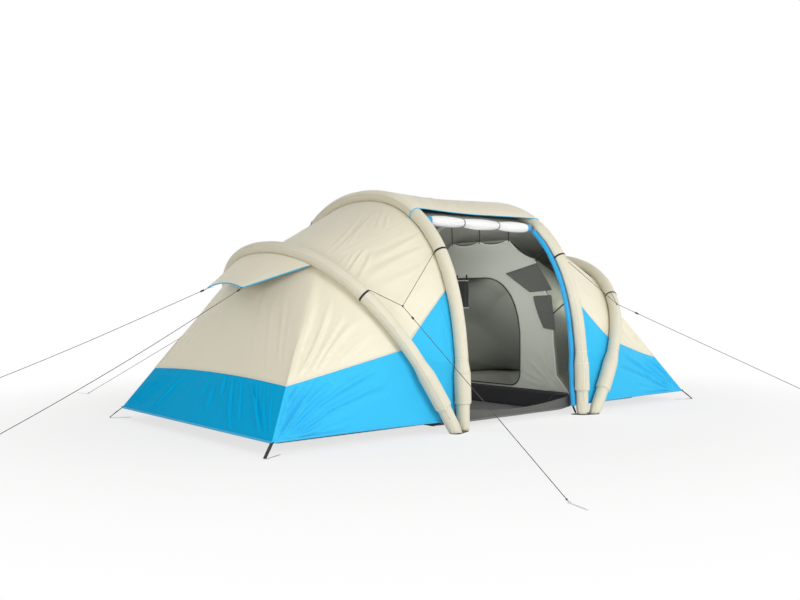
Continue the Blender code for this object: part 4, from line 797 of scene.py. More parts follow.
def make_sleeve(kind, side):
    """A beam's fabric tube with small folds, its tapes, its bands and its bladder."""
    arch = (MAIN if kind == "main" else END)[side]
    name = "%s_%s" % (kind, hand(side))
    extra = [arch.station_at(z) for z in (0.0835, 0.0845, 0.2035, 0.2050, 0.2075, 0.2125, 0.2150, 0.2165)]
    s = np.array(sorted(list(arch.even(0, LAST, 0.018)) + extra + [LAST - k for k in extra]))
    degrees = np.linspace(0, 360, 41)
    centre, _, run = arch.frame(s)
    radius = sleeve_radius(arch, s)[:, None] * np.ones((1, len(degrees)))
    z = centre[:, 2][:, None]
    turn = np.radians(degrees)[None, :]
    length = lengths_along(centre)[:, None]
    bend = np.linalg.norm(np.gradient(run, axis=0) / np.gradient(length[:, 0])[:, None], axis=1)[:, None]
    inside = np.clip(np.cos(turn), 0, 1) ** 3
    off_fly = [1 - np.exp(-((degrees[None, :] - middle) / 22) ** 2) for middle in (0, 360)]
    outer = off_fly[0] * off_fly[1]
    crinkle = np.sin(length * 95 + 2.2 * np.sin(length * 9) + 1.5 * np.sin(turn * 2 + side))
    radius -= 0.0011 * np.clip(bend - 0.45, 0, 2) * inside * (1 + crinkle)
    foot = np.exp(-((z - 0.02) / 0.045) ** 2)
    radius -= 0.0022 * foot * (1 + np.sin(turn * 9 + 1.3 * np.sin(z * 40 + 1)))
    boot = np.exp(-((z - 0.50) / 0.055) ** 2)
    radius -= 0.0010 * boot * (1 + np.sin(turn * 13 + z * 30))
    hem = np.exp(-((z - 0.19) / 0.02) ** 2)
    radius -= 0.0009 * hem * (1 + np.sin(turn * 11 + z * 55 + side))
    radius -= 0.0004 * outer * (1 + np.sin(length * 23 + 2 * np.sin(turn + length * 3)))
    points = arch.at(s[:, None], degrees[None, :], radius)
    for end in (0, -1):
        points[end] += run[end] * ((FOOT_LIFT - points[end][:, 2]) / run[end][2])[:, None]
    girth = np.ones_like(length) * degrees[None, :] / 360 * 2 * np.pi * TUBE
    uv = np.stack([length * np.ones((1, len(degrees))), girth], -1)
    mesh = mesh_of("sleeve_cloth_" + name, [(points, uv)], weld=1e-5)
    part = link("sleeve_cloth_" + name, mesh, [SLEEVE])
    outward(part, [list(c) for c in centre[:: len(centre) // 60]])
    thicken(part, 0.0008)
    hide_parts("sleeve_" + name)
    make_boot_tape(arch, name)
    seam_line(arch, name, 215.0 if kind == "main" else 150.0)
    for front in (1, -1):
        make_band(arch, name, BAND_LEVELS[kind], front)
    make_bladder(arch, name)


def outward(part, centres):
    """Turns a tube's faces away from its centre line."""
    mesh = part.data
    centres = np.array(centres)
    votes = 0.0
    for polygon in list(mesh.polygons)[:: max(len(mesh.polygons) // 300, 1)]:
        c = np.array(polygon.center)
        near = centres[np.argmin(np.linalg.norm(centres - c, axis=1))]
        votes += float(np.dot(np.array(polygon.normal), c - near))
    if votes < 0:
        mesh.flip_normals()


def make_boot_tape(arch, name):
    """Stitched rings: two near the top of each boot and one just above its hem."""
    for front in (1, -1):
        for k, (level, radius) in enumerate(((0.228, BOOT), (0.446, BOOT), (0.548, TUBE))):
            s0 = arch.station_at(level, front)
            degrees = np.linspace(0, 360, 49)
            pace = arch.frame(np.array([s0, s0 + 0.01]))[0]
            shift = 0.003 / float(np.linalg.norm(pace[1] - pace[0])) * 0.01
            grid = np.array([arch.at(s0 + way * shift, degrees, radius + 0.0001) for way in (-1, 1)])
            uv = np.stack(np.meshgrid([0.0, 0.012], degrees / 360 * 0.4, indexing="ij")[::-1], -1)
            ring = link("boot_stitch_%s_%s_%d" % (name, facing(front), k),
                        mesh_of("ring", [(grid, uv)], weld=1e-6), [SEAM_TAPE])
            outward(ring, [list(arch.frame(s0)[0])])
            thicken(ring, 0.0005, offset=1.0)


def seam_line(arch, name, degrees):
    """The sleeve's long seam, on the tube's outer side."""
    s = arch.even(2.4, LAST - 2.4, 0.03)
    r = sleeve_radius(arch, s) + 0.0002
    before, line, after = (arch.at(s, degrees + turn, r) for turn in (-5, 0, 5))
    ribbon("sleeve_seam_" + name, line, after - before, 0.008, 0.0006, SEAM_TAPE)


def make_band(arch, name, level, front):
    """The webbing band round a beam that holds a bridle's arm."""
    s = arch.station_at(level, front)
    line = arch.at(s, np.linspace(40, 320, 57), TUBE + 0.0009)
    ribbon("band_%s_%s" % (name, facing(front)), line, arch.frame(s)[2], 0.016, 0.0014, BLACK)


def make_bladder(arch, name):
    """The film tube inside a sleeve, with its valve neck and flange."""
    s = arch.even(1, LAST - 1, 0.05)
    centre = arch.frame(s)[0]
    grid = capped(arch.at(s[:, None], np.linspace(0, 360, 25)[None, :], 0.0465), centre[0], centre[-1])
    part = closed_piece("film_tube_" + name, grid, FILM, weld=1e-5)
    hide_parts("bladder_" + name)
    out = -arch.across
    origin = arch.frame(25.5)[0] + out * (TUBE - 0.003 - GAP) * math.cos(math.pi / 10)
    base = (BOOT - TUBE + 0.003 + GAP) * math.cos(math.pi / 10) + GAP
    profile = [(-0.010, 0.010), (base, 0.0108), (base, 0.0168), (base + 0.0022, 0.0170),
               (base + 0.003, 0.0162), (base + 0.003, 0.0108), (base + 0.0145, 0.0106), (base + 0.015, 0.0)]
    lathe("valve_neck_" + name, origin, out, profile, PLASTIC)
    polish("valve_cap_" + name, PLASTIC, 0.0009)


for side in (-1, 1):
    make_sleeve("main", side)
    make_sleeve("end", side)


# Pods: the beige fly and the blue skirt of one sleeping pod
def hip_share(side, s):
    z = END[side].frame(np.minimum(s, LAST - np.asarray(s)))[0][..., 2]
    hem, seam, top = (float(END[side].frame(k)[0][2]) for k in (2.0, 8.0, 12.0))
    near = np.minimum(s, LAST - np.asarray(s, float))
    low = HIP_SEAM * (z - hem) / (seam - hem)
    high = HIP_SEAM + (1 - HIP_SEAM) * (z - seam) / (top - seam)
    return np.where(near <= 8, low, high)


def hem_corner(side, front):
    return np.array([side * HEM.x, -front * HEM.y, HEM.z])


def shoulder_seat(side, front):
    """The place on the end beam's shoulder where a hip seam ends."""
    return end_line(side, np.array([SHOULDER if front == 1 else LAST - SHOULDER]))[0]


def bowed(a, b, u, inward):
    """Cloth from one line to another that sinks a little inward between them."""
    span = np.linalg.norm(b - a, axis=-1, keepdims=True)
    return a + (b - a) * u + inward * (4 * u * (1 - u) * SLACK * span)


def band_grid(side, s, steps):
    """Cloth between the end beam and the main beam."""
    u = np.linspace(0, 1, steps + 1)[None, :, None]
    a, b = end_line(side, s)[:, None], main_line(side, s)[:, None]
    return bowed(a, b, u, unit(MAIN[side].frame(s)[1] + END[side].frame(s)[1])[:, None])


def flank_grid(side, s, steps, front):
    """Cloth between the hip seam and the end beam."""
    u = np.linspace(0, 1, steps + 1)[None, :, None]
    share = hip_share(side, s)[:, None]
    hip = (hem_corner(side, front) * (1 - share) + shoulder_seat(side, front) * share)[:, None]
    return bowed(hip, end_line(side, s)[:, None], u, END[side].frame(s)[1][:, None])


def wall_grid(side, s, crown):
    """Cloth of the end wall, from the hem up to the end beam's crown."""
    share = hip_share(side, s)[:, None, None]
    u = ((crown - 12) / 6)[None, :, None]
    foot = hem_corner(side, 1) * (1 - u) + hem_corner(side, -1) * u
    head = end_line(side, crown)[None]
    depth = 16 * u * (1 - u) * share * (1 - share) * SLACK
    length = np.linalg.norm(head - foot, axis=-1, keepdims=True)
    return foot * (1 - share) + head * share + np.array([-side, 0, 0]) * depth * length


def edge_weight(n, m, first=(0.10, 0.10), second=(0.10, 0.10)):
    """One inside a grid, falling to nothing at its edges; 0 in a pair leaves that edge free."""

    def fall(count, pair):
        t = np.linspace(0, 1, count)
        w = np.ones(count)
        if pair[0]:
            w *= smoothstep(0, pair[0], t)
        if pair[1]:
            w *= smoothstep(0, pair[1], 1 - t)
        return w

    return fall(n, first)[:, None] * fall(m, second)[None, :]


def displaced(grid, height, outward_from):
    """A grid moved out along its normals, away from a point."""
    n = normals_of(grid)
    flip = np.sign(((grid - np.array(outward_from)) * n).sum(-1).mean())
    return grid + n * (height * flip)[..., None]


# Folds of one pod's panels, front half; the rear half mirrors them
BAND_FOLDS = ((0.40, 0.77, 0.32, 0.20, 1.0, 1.0), (0.39, 0.85, 0.32, 0.36, 1.1, 0.9),
              (0.43, 0.83, 0.34, 0.20, 0.7, 1.1), (0.38, 0.91, 0.32, 0.66, 0.9, 1.1),
              (0.36, 0.93, 0.31, 0.74, 1.0, 1.3), (0.30, 0.90, 0.31, 0.50, 0.5, 0.8),
              (0.31, 0.54, 0.31, 0.14, 0.7, 0.8), (0.28, 0.44, 0.23, 0.11, 1.5, 1.0),
              (0.26, 0.46, 0.20, 0.10, 1.2, 1.7), (0.29, 0.36, 0.25, 0.14, 0.8, 0.8),
              (0.29, 0.26, 0.27, 0.10, 0.7, 0.8), (0.22, 0.96, 0.24, 0.37, 1.0, 3.2),
              (0.17, 0.93, 0.19, 0.16, 1.1, 3.4), (0.12, 0.80, 0.15, 0.21, 0.7, 3.4),
              (0.07, 0.70, 0.09, 0.30, 0.5, 3.0))
FLANK_FOLDS = ((0.05, 0.02, 0.50, 0.07, 0.8, 0.7), (0.05, 0.05, 0.58, 0.20, 1.1, 0.9),
               (0.05, 0.10, 0.55, 0.46, 1.4, 1.2), (0.04, 0.20, 0.40, 0.60, 0.7, 1.0),
               (0.04, 0.27, 0.33, 0.74, 1.0, 1.4), (0.04, 0.44, 0.20, 0.84, 0.7, 1.4),
               (0.30, 0.12, 0.85, 0.30, 0.6, 1.6))
WALL_FOLDS = ((0.06, 0.035, 0.60, 0.10, 0.8, 1.0), (0.08, 0.08, 0.62, 0.19, 0.9, 1.3),
              (0.06, 0.14, 0.60, 0.28, 0.8, 1.4), (0.08, 0.25, 0.70, 0.38, 0.6, 1.6),
              (0.50, 0.42, 0.85, 0.45, 0.6, 1.2))
FRONT_FOLDS = ((0.37, 0.02, 0.88, 0.03, 0.7, 0.6), (0.22, 0.02, 0.86, 0.07, 0.9, 0.6),
               (0.08, 0.02, 0.92, 0.20, 1.2, 0.8), (0.10, 0.04, 0.95, 0.28, 1.3, 0.9),
               (0.12, 0.06, 0.82, 0.36, 1.2, 1.5), (0.06, 0.05, 0.60, 0.31, 1.0, 0.9),
               (0.48, 0.24, 0.86, 0.70, 0.9, 1.6), (0.07, 0.07, 0.48, 0.38, 1.0, 0.9),
               (0.38, 0.30, 0.64, 0.76, 0.9, 1.6), (0.05, 0.08, 0.30, 0.50, 0.8, 1.2),
               (0.04, 0.10, 0.14, 0.45, 0.7, 1.2), (0.92, 0.10, 0.55, 0.05, 0.8, 0.7))
BELLY_FOLDS = ((0.97, 0.97, 0.975, 0.50, 1.0, 1.0), (0.93, 0.96, 0.955, 0.42, 1.1, 1.1),
               (0.88, 0.95, 0.915, 0.45, 1.0, 1.0), (0.83, 0.93, 0.87, 0.40, 0.9, 1.2),
               (0.76, 0.90, 0.82, 0.40, 0.8, 1.4), (0.98, 0.80, 0.70, 0.93, 0.8, 1.0))
END_FOLDS = ((0.95, 0.39, 0.55, 0.36, 1.2, 1.0), (0.92, 0.33, 0.05, 0.22, 1.2, 1.1),
             (0.90, 0.27, 0.12, 0.19, 1.0, 1.0), (0.92, 0.22, 0.05, 0.07, 1.0, 0.9),
             (0.92, 0.17, 0.05, 0.045, 0.9, 0.8), (0.92, 0.12, 0.05, 0.030, 0.8, 0.7),
             (0.93, 0.07, 0.12, 0.020, 0.6, 0.6), (0.75, 0.44, 0.28, 0.42, 0.9, 1.6),
             (0.85, 0.50, 0.40, 0.49, 0.6, 1.3))
FAR_FOLDS = ((0.12, 0.99, 0.88, 0.90, 1.0, 0.8), (0.10, 0.97, 0.62, 0.86, 1.0, 0.8),
             (0.12, 0.94, 0.88, 0.83, 0.9, 0.9), (0.14, 0.90, 0.86, 0.78, 1.0, 0.9),
             (0.10, 0.79, 0.88, 0.71, 2.0, 1.2))
CANOPY_FOLDS = ((0.05, 0.20, 0.30, 0.32, 0.8, 1.0), (0.05, 0.31, 0.34, 0.45, 1.0, 1.2),
                (0.05, 0.39, 0.30, 0.50, 0.8, 1.0), (0.05, 0.47, 0.32, 0.60, 1.0, 1.3),
                (0.05, 0.56, 0.28, 0.68, 0.9, 1.0), (0.05, 0.64, 0.24, 0.76, 0.8, 1.1))


def make_pod(side):
    """One pod's fly and skirt, with their folds and seams."""
    label = hand(side)
    inside = (side * 1.3, 0.0, 0.3)
    leg = END[side].even(8, 12, 0.011)
    crown = END[side].even(12, 18, 0.011)
    low = np.unique(np.concatenate([END[side].even(2, 8, 0.011), [5.0, 6.0]]))
    patches = []

    def add_patch(grid, h, rows, columns, share=1.0):
        """Folds a panel, less towards the edges given in rows and columns."""
        weight = edge_weight(*grid.shape[:2], rows, columns) * share
        patches.append(displaced(grid, h * weight, inside))

    # band over the whole arch
    s = np.concatenate([leg, crown[1:], (LAST - leg[::-1])[1:]])
    grid = band_grid(side, s, 84)
    h = 0.0035 * wobble(grid, 6.0, 21) + 0.0010 * wobble(grid, 17.0, 22)
    h += mirrored_creases(grid, BAND_FOLDS, 0.0052, 0.0105, 3)
    add_patch(grid, h, (0.03, 0.03), (0.06, 0.06))
    # flanks
    for front in (1, -1):
        s = leg if front == 1 else LAST - leg
        grid = flank_grid(side, s, 90, front)
        h = creases(grid, FLANK_FOLDS, 0.0125, 0.0165, 7 + front)
        h += 0.0022 * wobble(grid, 8.0, 31)
        calm_top = 1 - 0.7 * smoothstep(0.75, 1.0, np.linspace(0, 1, len(s)))[:, None]
        add_patch(grid, h, (0.02, 0.0), (0.03, 0.10), calm_top)
    # end wall
    grid = wall_grid(side, leg, crown)
    h = 0.0035 * wobble(grid, 5.0, 42)
    h += mirrored_creases(grid, WALL_FOLDS, 0.0032, 0.0180, 9, axis=1)
    add_patch(grid, h, (0.04, 0.06), (0.03, 0.03))
    mesh = mesh_of("fly", patches, inside)
    for front in (1, -1):
        soften(mesh, hem_corner(side, front), shoulder_seat(side, front), 0.16, 0.45, 0.85)
    fly = link("fly_" + label, mesh, [CANVAS, COATING])
    thicken(fly, CLOTH, inner=1)
    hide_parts("pod_fly_" + label)
    # skirt
    patches.clear()
    for front in (1, -1):
        s = low if front == 1 else LAST - low
        grid = band_grid(side, s, 56)
        h = creases(grid, BELLY_FOLDS, 0.0085, 0.0115, 15 + front)
        h += 0.0010 * wobble(grid, 14.0, 51)
        add_patch(grid, h, (0.0, 0.05), (0.08, 0.08))
        grid = flank_grid(side, s, 190, front)
        h = creases(grid, FRONT_FOLDS, 0.0150, 0.0145, 4 + front)
        h += 0.0015 * wobble(grid, 8.0, 52)
        add_patch(grid, h, (0.02, 0.05), (0.015, 0.08))
    grid = wall_grid(side, low, END[side].even(12, 18, 0.0050))
    h = 0.0014 * wobble(grid, 10.0, 54)
    h += creases(grid, END_FOLDS, 0.0100, 0.0135, 16)
    h += creases(grid[:, ::-1], END_FOLDS, 0.0040, 0.0115, 17)[:, ::-1]
    h += creases(grid, FAR_FOLDS, 0.0100, 0.0135, 18)
    add_patch(grid, h, (0.02, 0.05), (0.015, 0.015))
    mesh = mesh_of("skirt", patches, inside)
    # The end wall's faces take the second, darker blue: painted shade.
    end_faces = (grid.shape[0] - 1) * (grid.shape[1] - 1)
    for face in mesh.polygons[-end_faces:]:
        face.material_index = 1
    skirt = link("skirt_cloth_" + label, mesh, [SKIRT, SHADED_SKIRT_END, LINING])
    thicken(skirt, CLOTH, inner=2)
    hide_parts("skirt_" + label)
    make_pod_seams(side, label, crown)


def make_pod_seams(side, label, crown):
    """The sewn line between fly and skirt, the hip seams and the hem binding, with the corner straps."""
    inside = np.array([side * 1.3, 0.0, 0.3])
    seam, hem = np.array([8.0, 8.05]), np.array([2.0, 2.05])
    pieces = [band_grid(side, seam, 30)[0][::-1], flank_grid(side, seam, 30, 1)[0][::-1],
              wall_grid(side, seam, crown)[0], flank_grid(side, LAST - seam, 30, -1)[0],
              band_grid(side, LAST - seam, 30)[0]]
    for k, piece in enumerate(pieces):
        out = unit(piece - inside)
        across = np.cross(out, unit(np.gradient(piece, axis=0)))
        ribbon("fly_seam_%s_%d" % (label, k), piece, across, 0.014, 0.0006, SEAM_TAPE,
               lift=out * 0.0010)
    for front in (1, -1):
        tag = "%s_%s" % (facing(front), label)
        corner, top = hem_corner(side, front), shoulder_seat(side, front)
        out = unit(np.array([side * 0.6, -front * 0.8, 0.3]))
        ribbon("hip_seam_" + tag, between(corner, top, 30, 0.30, 0.52), np.cross(out, unit(top - corner)),
               0.008, 0.0003, SEAM_TAPE, lift=out * 0.0008)
        low = hem if front == 1 else LAST - hem
        for k, piece in enumerate((band_grid(side, low, 20)[0], flank_grid(side, low, 30, front)[0])):
            hem_tape("%s_%d" % (tag, k), piece, np.array([0.0, -front, 0.1]))
        make_corner_strap(side, front, tag)
    hem_tape("end_" + label, wall_grid(side, hem, crown)[0], np.array([side, 0, 0]))


def hem_tape(tag, line, out):
    """The binding along a skirt's hem."""
    ribbon("hem_tape_" + tag, line, (0, 0, 1.0), 0.016, 0.0007, BLUE_TAPE,
           lift=out * 0.0012 + np.array([0, 0, 0.008]))


def make_corner_strap(side, front, tag):
    """The black strap that ties a hem corner to its peg, with its buckle."""
    corner = hem_corner(side, front)
    peg_x, peg_y = HEM.x + CORNER_PEG_OUT[0], HEM.y + CORNER_PEG_OUT[1]
    eye = np.array([side * peg_x, -front * peg_y, 0.0075])
    run = unit(eye - corner)
    start = corner - run * 0.016
    flat = unit(np.cross(run, [0, 0, 1.0]))
    ribbon("corner_strap_" + tag, between(start, eye, 14), flat, 0.022, 0.0060, BLACK)
    depth = np.cross(flat, run)
    middle = corner + run * 0.040
    outline = ((-0.012, -0.009), (0.012, -0.009), (0.012, 0.009), (-0.012, 0.009))
    box = [[middle + flat * a + run * b + depth * c for c in (-0.0035, 0.0035)] for a, b in outline]
    mesh = bpy.data.meshes.new("buckle")
    ring = [tuple(p) for row in box for p in row]
    faces = [(0, 1, 3, 2), (2, 3, 5, 4), (4, 5, 7, 6), (6, 7, 1, 0), (0, 2, 4, 6), (1, 7, 5, 3)]
    mesh.from_pydata(ring, [], faces)
    buckle = link("corner_buckle_" + tag, mesh, [PLASTIC], shade=False)
    round_edges(buckle, 0.0015, 3)
    tail_end = np.array([side * 0.02, -front * 0.012, -0.02])
    tail = corner + run * 0.045 + between(np.zeros(3), tail_end, 8)
    ribbon("corner_tail_" + tag, tail, flat, 0.016, 0.0030, BLACK, lift=depth * 0.004)


def piping(name, line, radius):
    tube(name, line, radius, PIPING, sides=10)


def make_hood(side):
    """The hood over a pod's end wall, with piped edges and its corner straps."""
    label = hand(side)
    arch = END[side]
    s = arch.even(12, 18, 0.022)
    seats = arch.at(s, 72.0, TUBE + GAP)
    tips = [quarter(HOOD_TIP, side, front) for front in (1, -1)]
    rim = []
    for here in s - 12:
        if 2 < here < 4:
            u = (here - 2) / 2
            rim.append(tips[0] * (1 - u) + tips[1] * u + np.array([0, 0, 0.040 * (4 * u * (1 - u))]))
            continue
        end = 0 if here <= 2 else -1
        away = here if end == 0 else 6 - here
        share = 0.55 * away if away <= 1 else 0.55 + 0.45 * (away - 1)
        rim.append(seats[end] + (tips[end] - seats[end]) * share)
    rim = np.array(rim)
    v = np.linspace(0, 1, 25)[None, :, None]
    grid = seats[:, None] * (1 - v) + rim[:, None] * v
    h = np.zeros(grid.shape[:2])
    for k, tip in enumerate(tips):
        along, across = grid[-k, 0] - tip, tips[1 - k] - tip
        h += spokes(grid, tip, along, across, (8, 17, 27, 38, 50), 0.40, 0.0045, 0.012, 60 + k)
    h += 0.0035 * wobble(grid, 9.0, 61)
    h = h * edge_weight(*grid.shape[:2], (0.06, 0.06), (0.12, 0.10))
    grid = displaced(grid, h, (side * 1.6, 0, 0))
    mesh = mesh_of("hood", [grid], (side * 1.6, 0, 0))
    hood = link("hood_cloth_" + label, mesh, [CANVAS, COATING])
    thicken(hood, CLOTH, inner=1, offset=1.0)
    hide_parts("hood_" + label)
    lift = np.array([0, 0, 0.0015])
    k0, k1 = (int(np.argmin(np.linalg.norm(rim - tip, axis=1))) for tip in tips)
    edge = grid[:, -1]
    piping("hood_piping_%s" % label, edge[k0:k1 + 1] + lift, radius=0.0052)
    piping("hood_piping_front_%s" % label, edge[1:k0 + 1] + lift, radius=0.0048)
    piping("hood_piping_rear_%s" % label, edge[k1:-1] + lift, radius=0.0048)
    for front, tip in ((1, tips[0]), (-1, tips[1])):
        end = tip + np.array([side * 0.012, -front * 0.004, -0.004])
        back = tip + unit(np.array([-side, front * 0.35, 0.20])) * 0.050
        ribbon("hood_strap_%s_%s" % (facing(front), label), between(back, end, 8),
               (0.35 * side * front, 1.0, 0), 0.016, 0.0018, BLACK, lift=np.array([0, 0, 0.003]))


for side in (-1, 1):
    make_pod(side)
    make_hood(side)


# Roof over the living room
def make_canopy():
    """The roof sheet from beam to beam, its piping and loops, and the ceiling below it."""
    s = MAIN[-1].even(12, 18, 0.022)
    middle = 15.0
    edge = np.abs(s - middle) / 3
    wrap = np.linspace(108, 180, 9)
    columns = []
    for degrees in wrap:
        columns.append(MAIN[-1].at(s, degrees, TUBE + GAP))
    slack = 0.014 + (0.085 - 0.014) * edge**2
    for u in np.linspace(0, 1, 61)[1:-1]:
        weight = 4 * u * (1 - u)
        scooped = middle + (s - middle) * (1 - weight * 0.26)
        a, b = (MAIN[side].at(scooped, 180.0, TUBE + GAP) for side in (-1, 1))
        columns.append(a * (1 - u) + b * u - np.array([0, 0, 1.0]) * (weight * slack)[:, None])
    for degrees in wrap[::-1]:
        columns.append(MAIN[1].at(s, degrees, TUBE + GAP))
    grid = np.stack(columns, 1)
    away = smoothstep(0.0, 0.10, 0.70 - np.abs(grid[..., 0]))
    h = 0.005 * wobble(grid, 6.0, 71)
    for side in (-1, 1):
        for front in (1, -1):
            corner = MAIN[side].at(15.0 - 3 * front, 180.0, TUBE)
            far = MAIN[-side].at(15.0 - 3 * front, 180.0, TUBE)
            ridge = MAIN[side].at(15.0, 180.0, TUBE)
            along, across = far - corner, ridge - corner
            h = h + spokes(grid, corner, along, across, (9, 19, 30, 42, 56), 0.55, 0.0060, 0.018, 72 + side)
    h = h * 0.6 + mirrored_creases(grid, CANOPY_FOLDS, 0.0130, 0.0150, 19)
    h = h * away * edge_weight(*grid.shape[:2], (0.03, 0.03), (0, 0))
    grid = displaced(grid, h, (0, 0, 0.9))
    mesh = mesh_of("canopy", [grid], (0, 0, 0.95))
    part = link("canopy_cloth", mesh, [CANVAS, COATING])
    thicken(part, CLOTH, inner=1, offset=1.0)
    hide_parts("roof_canopy")
    out = unit(grid - np.array([0, 0, 0.95]))
    for front, row in ((1, 0), (-1, -1)):
        piping("canopy_piping_" + facing(front), grid[row] + out[row] * 0.0010, radius=0.0040)
    for side in (-1, 1):
        for front in (1, -1):
            station = SHOULDER if front == 1 else LAST - SHOULDER
            loop = MAIN[side].at(station, np.linspace(114, 44, 24), TUBE + 0.0030)
            piping("canopy_loop_%s_%s" % (facing(front), hand(side)), loop, radius=0.0042)
    s = MAIN[-1].even(12, 18, 0.03)
    u = np.linspace(0, 1, 41)[None, :, None]
    a, b = living_line(-1, s)[:, None], living_line(1, s)[:, None]
    ends = (np.sin(np.clip((s - 12) / 6, 0, 1) * np.pi) ** 0.5)[:, None, None]
    grid = a * (1 - u) + b * u - np.array([0, 0, 1.0]) * 4 * u * (1 - u) * 0.030 * ends
    grid[..., 2] += 0.004 * wobble(grid, 8.0, 75) * edge_weight(*grid.shape[:2])
    mesh = mesh_of("ceiling", [grid], (0, 0, 0.95))
    part = link("ceiling_cloth", mesh, [CEILING])
    thicken(part, CLOTH)
    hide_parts("ceiling_panel")


def make_rear_door():
    """The closed rear door, with zips up both sides and across the top."""
    s = LAST - np.array(sorted(set(np.round(MAIN[1].even(2, 12, 0.03), 5))))
    u = np.linspace(0, 1, 41)[None, :, None]
    a, b = living_line(-1, s)[:, None], living_line(1, s)[:, None]
    grid = a * (1 - u) + b * u
    h = 0.004 * wobble(grid, 7.0, 81)
    for side in (-1, 1):
        near = 0 if side < 0 else -1
        low, top, over = grid[0, near], grid[-1, near], grid[0, -1 - near]
        foot_folds, head_folds = (8, 18, 29, 41, 54, 68), (8, 18, 30, 43)
        h = h + spokes(grid, low, top - low, over - low, foot_folds, 0.62, 0.0065, 0.018, 82 + side)
        h = h + spokes(grid, top, low - top, over - low, head_folds, 0.50, 0.0050, 0.018, 83 + side)
    h = h * edge_weight(*grid.shape[:2], (0.03, 0.03), (0.06, 0.06))
    rise = np.linspace(0, 1, len(s))[:, None]
    off_zip = (np.abs(grid[..., 0]) - 0.56 + 0.80 * np.maximum(rise - 0.75, 0) ** 1.5) / 0.050
    near_zip = np.exp(-off_zip ** 2)
    h = h * (1 - 0.95 * near_zip) - 0.0024 * near_zip
    grid = displaced(grid, h, (0, 0, 0.9))
    mesh = mesh_of("rear", [grid], (0, 0, 0.95))
    part = link("rear_door_cloth", mesh, [CANVAS, COATING])
    thicken(part, CLOTH, inner=1)
    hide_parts("rear_door")

    def on_door(x, share):
        k = min(int(share * (len(s) - 1)), len(s) - 2)
        t = share * (len(s) - 1) - k
        row = grid[k] * (1 - t) + grid[k + 1] * t
        return np.array([np.interp(x, row[:, 0], row[:, axis]) if axis else x for axis in range(3)])

    zips = []
    for side in (-1, 1):
        zips.append(np.array([on_door(side * (0.56 - 0.20 * max(0, v - 0.75) ** 1.5 * 4), v)
                              for v in np.linspace(0.02, 0.95, 60)]))
    zips.append(np.array([on_door(x, 0.95) for x in np.linspace(zips[0][-1][0], zips[1][-1][0], 24)]))
    for k, line in enumerate(zips):
        out = unit(line - np.array([0, 0, 0.6]))
        across = np.cross(out, unit(np.gradient(line, axis=0)))
        ribbon("rear_zip_tape_%d" % k, line, across, 0.020, 0.0008, ZIP_TAPE, lift=out * 0.0022)
        ribbon("rear_zip_coil_%d" % k, line, across, 0.005, 0.0014, ZIP, lift=out * 0.0030)
    polish("rear_zip_slider", ZIP, 0.0008)


def make_roll():
    """The rolled front door: three lobes between its ties, and its blue ends."""
    lip = (living_line(-1, np.array([12.0]))[0] + living_line(1, np.array([12.0]))[0]) / 2
    hang = math.radians(205)
    centre = lip + np.array([0, math.cos(hang), math.sin(hang)]) * 0.0513
    x = np.linspace(-0.640, 0.640, 181)
    u = (x + 0.64) / 1.28
    swell = np.abs(np.sin(np.pi * 3 * u)) ** 0.62
    waist = np.where((u < 0.04) | (u > 0.96), 0.028, 0.030)
    radius = waist + (0.0480 - waist) * swell
    radius = np.minimum(radius, 0.0300 + 0.28 * np.maximum(0.600 - np.abs(x), 0.0))
    turn = circle(49)
    grid = np.zeros((len(x), 49, 3))
    neck = np.exp(-((1 - swell) ** 2 - 0.3) ** 2 / 0.06)[:, None]
    wrinkle = neck * 0.0024 * np.sin(turn * 11 + 1.6 * np.sin(u * 40)[:, None])
    wrinkle = wrinkle * (1 - 0.5 * np.cos(turn * 3))
    wrinkle = wrinkle + 0.0014 * np.sin(turn[None, :] * 3 + 9 * u[:, None] + 1.2 * np.sin(18 * u)[:, None])
    spiral = 0.0035 * ((turn[None, :] / (2 * np.pi) + 0.30) % 1.0)
    r = np.minimum(radius[:, None] - 0.0020 + wrinkle + spiral * swell[:, None], 0.0525)
    grid[..., 0] = x[:, None]
    grid[..., 1] = centre[1] + r * np.cos(turn)[None, :]
    grid[..., 2] = centre[2] + 0.010 + r * np.sin(turn)[None, :] * 0.97 - 0.004 * swell[:, None]
    mesh = mesh_of("roll", [grid], closed=True)
    part = link("front_roll_cloth", mesh, [WHITE])
    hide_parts("front_door_roll")
    rings = [(0.641, 0.0), (0.641, 0.010), (0.639, 0.011), (0.641, 0.012), (0.641, 0.021), (0.639, 0.022),
             (0.641, 0.023), (0.640, 0.0290), (0.635, 0.0325), (0.612, 0.0345), (0.592, 0.0355),
             (0.590, 0.0345), (0.591, 0.0300)]
    for side in (-1, 1):
        lathe("roll_end_" + hand(side), (0, centre[1], centre[2] + 0.009), (side, 0, 0), rings, FLAP,
              sides=40)
    for k, at in enumerate((-0.2133, 0.2133)):
        y, z = 0.0315 * np.cos(circle(41)), 0.0315 * np.sin(circle(41))
        line = np.stack([np.full(41, at), centre[1] + y, centre[2] + 0.008 + z], -1)
        ribbon("roll_tie_%d" % k, line, (1.0, 0, 0), 0.010, 0.0012, EDGE_TAPE)


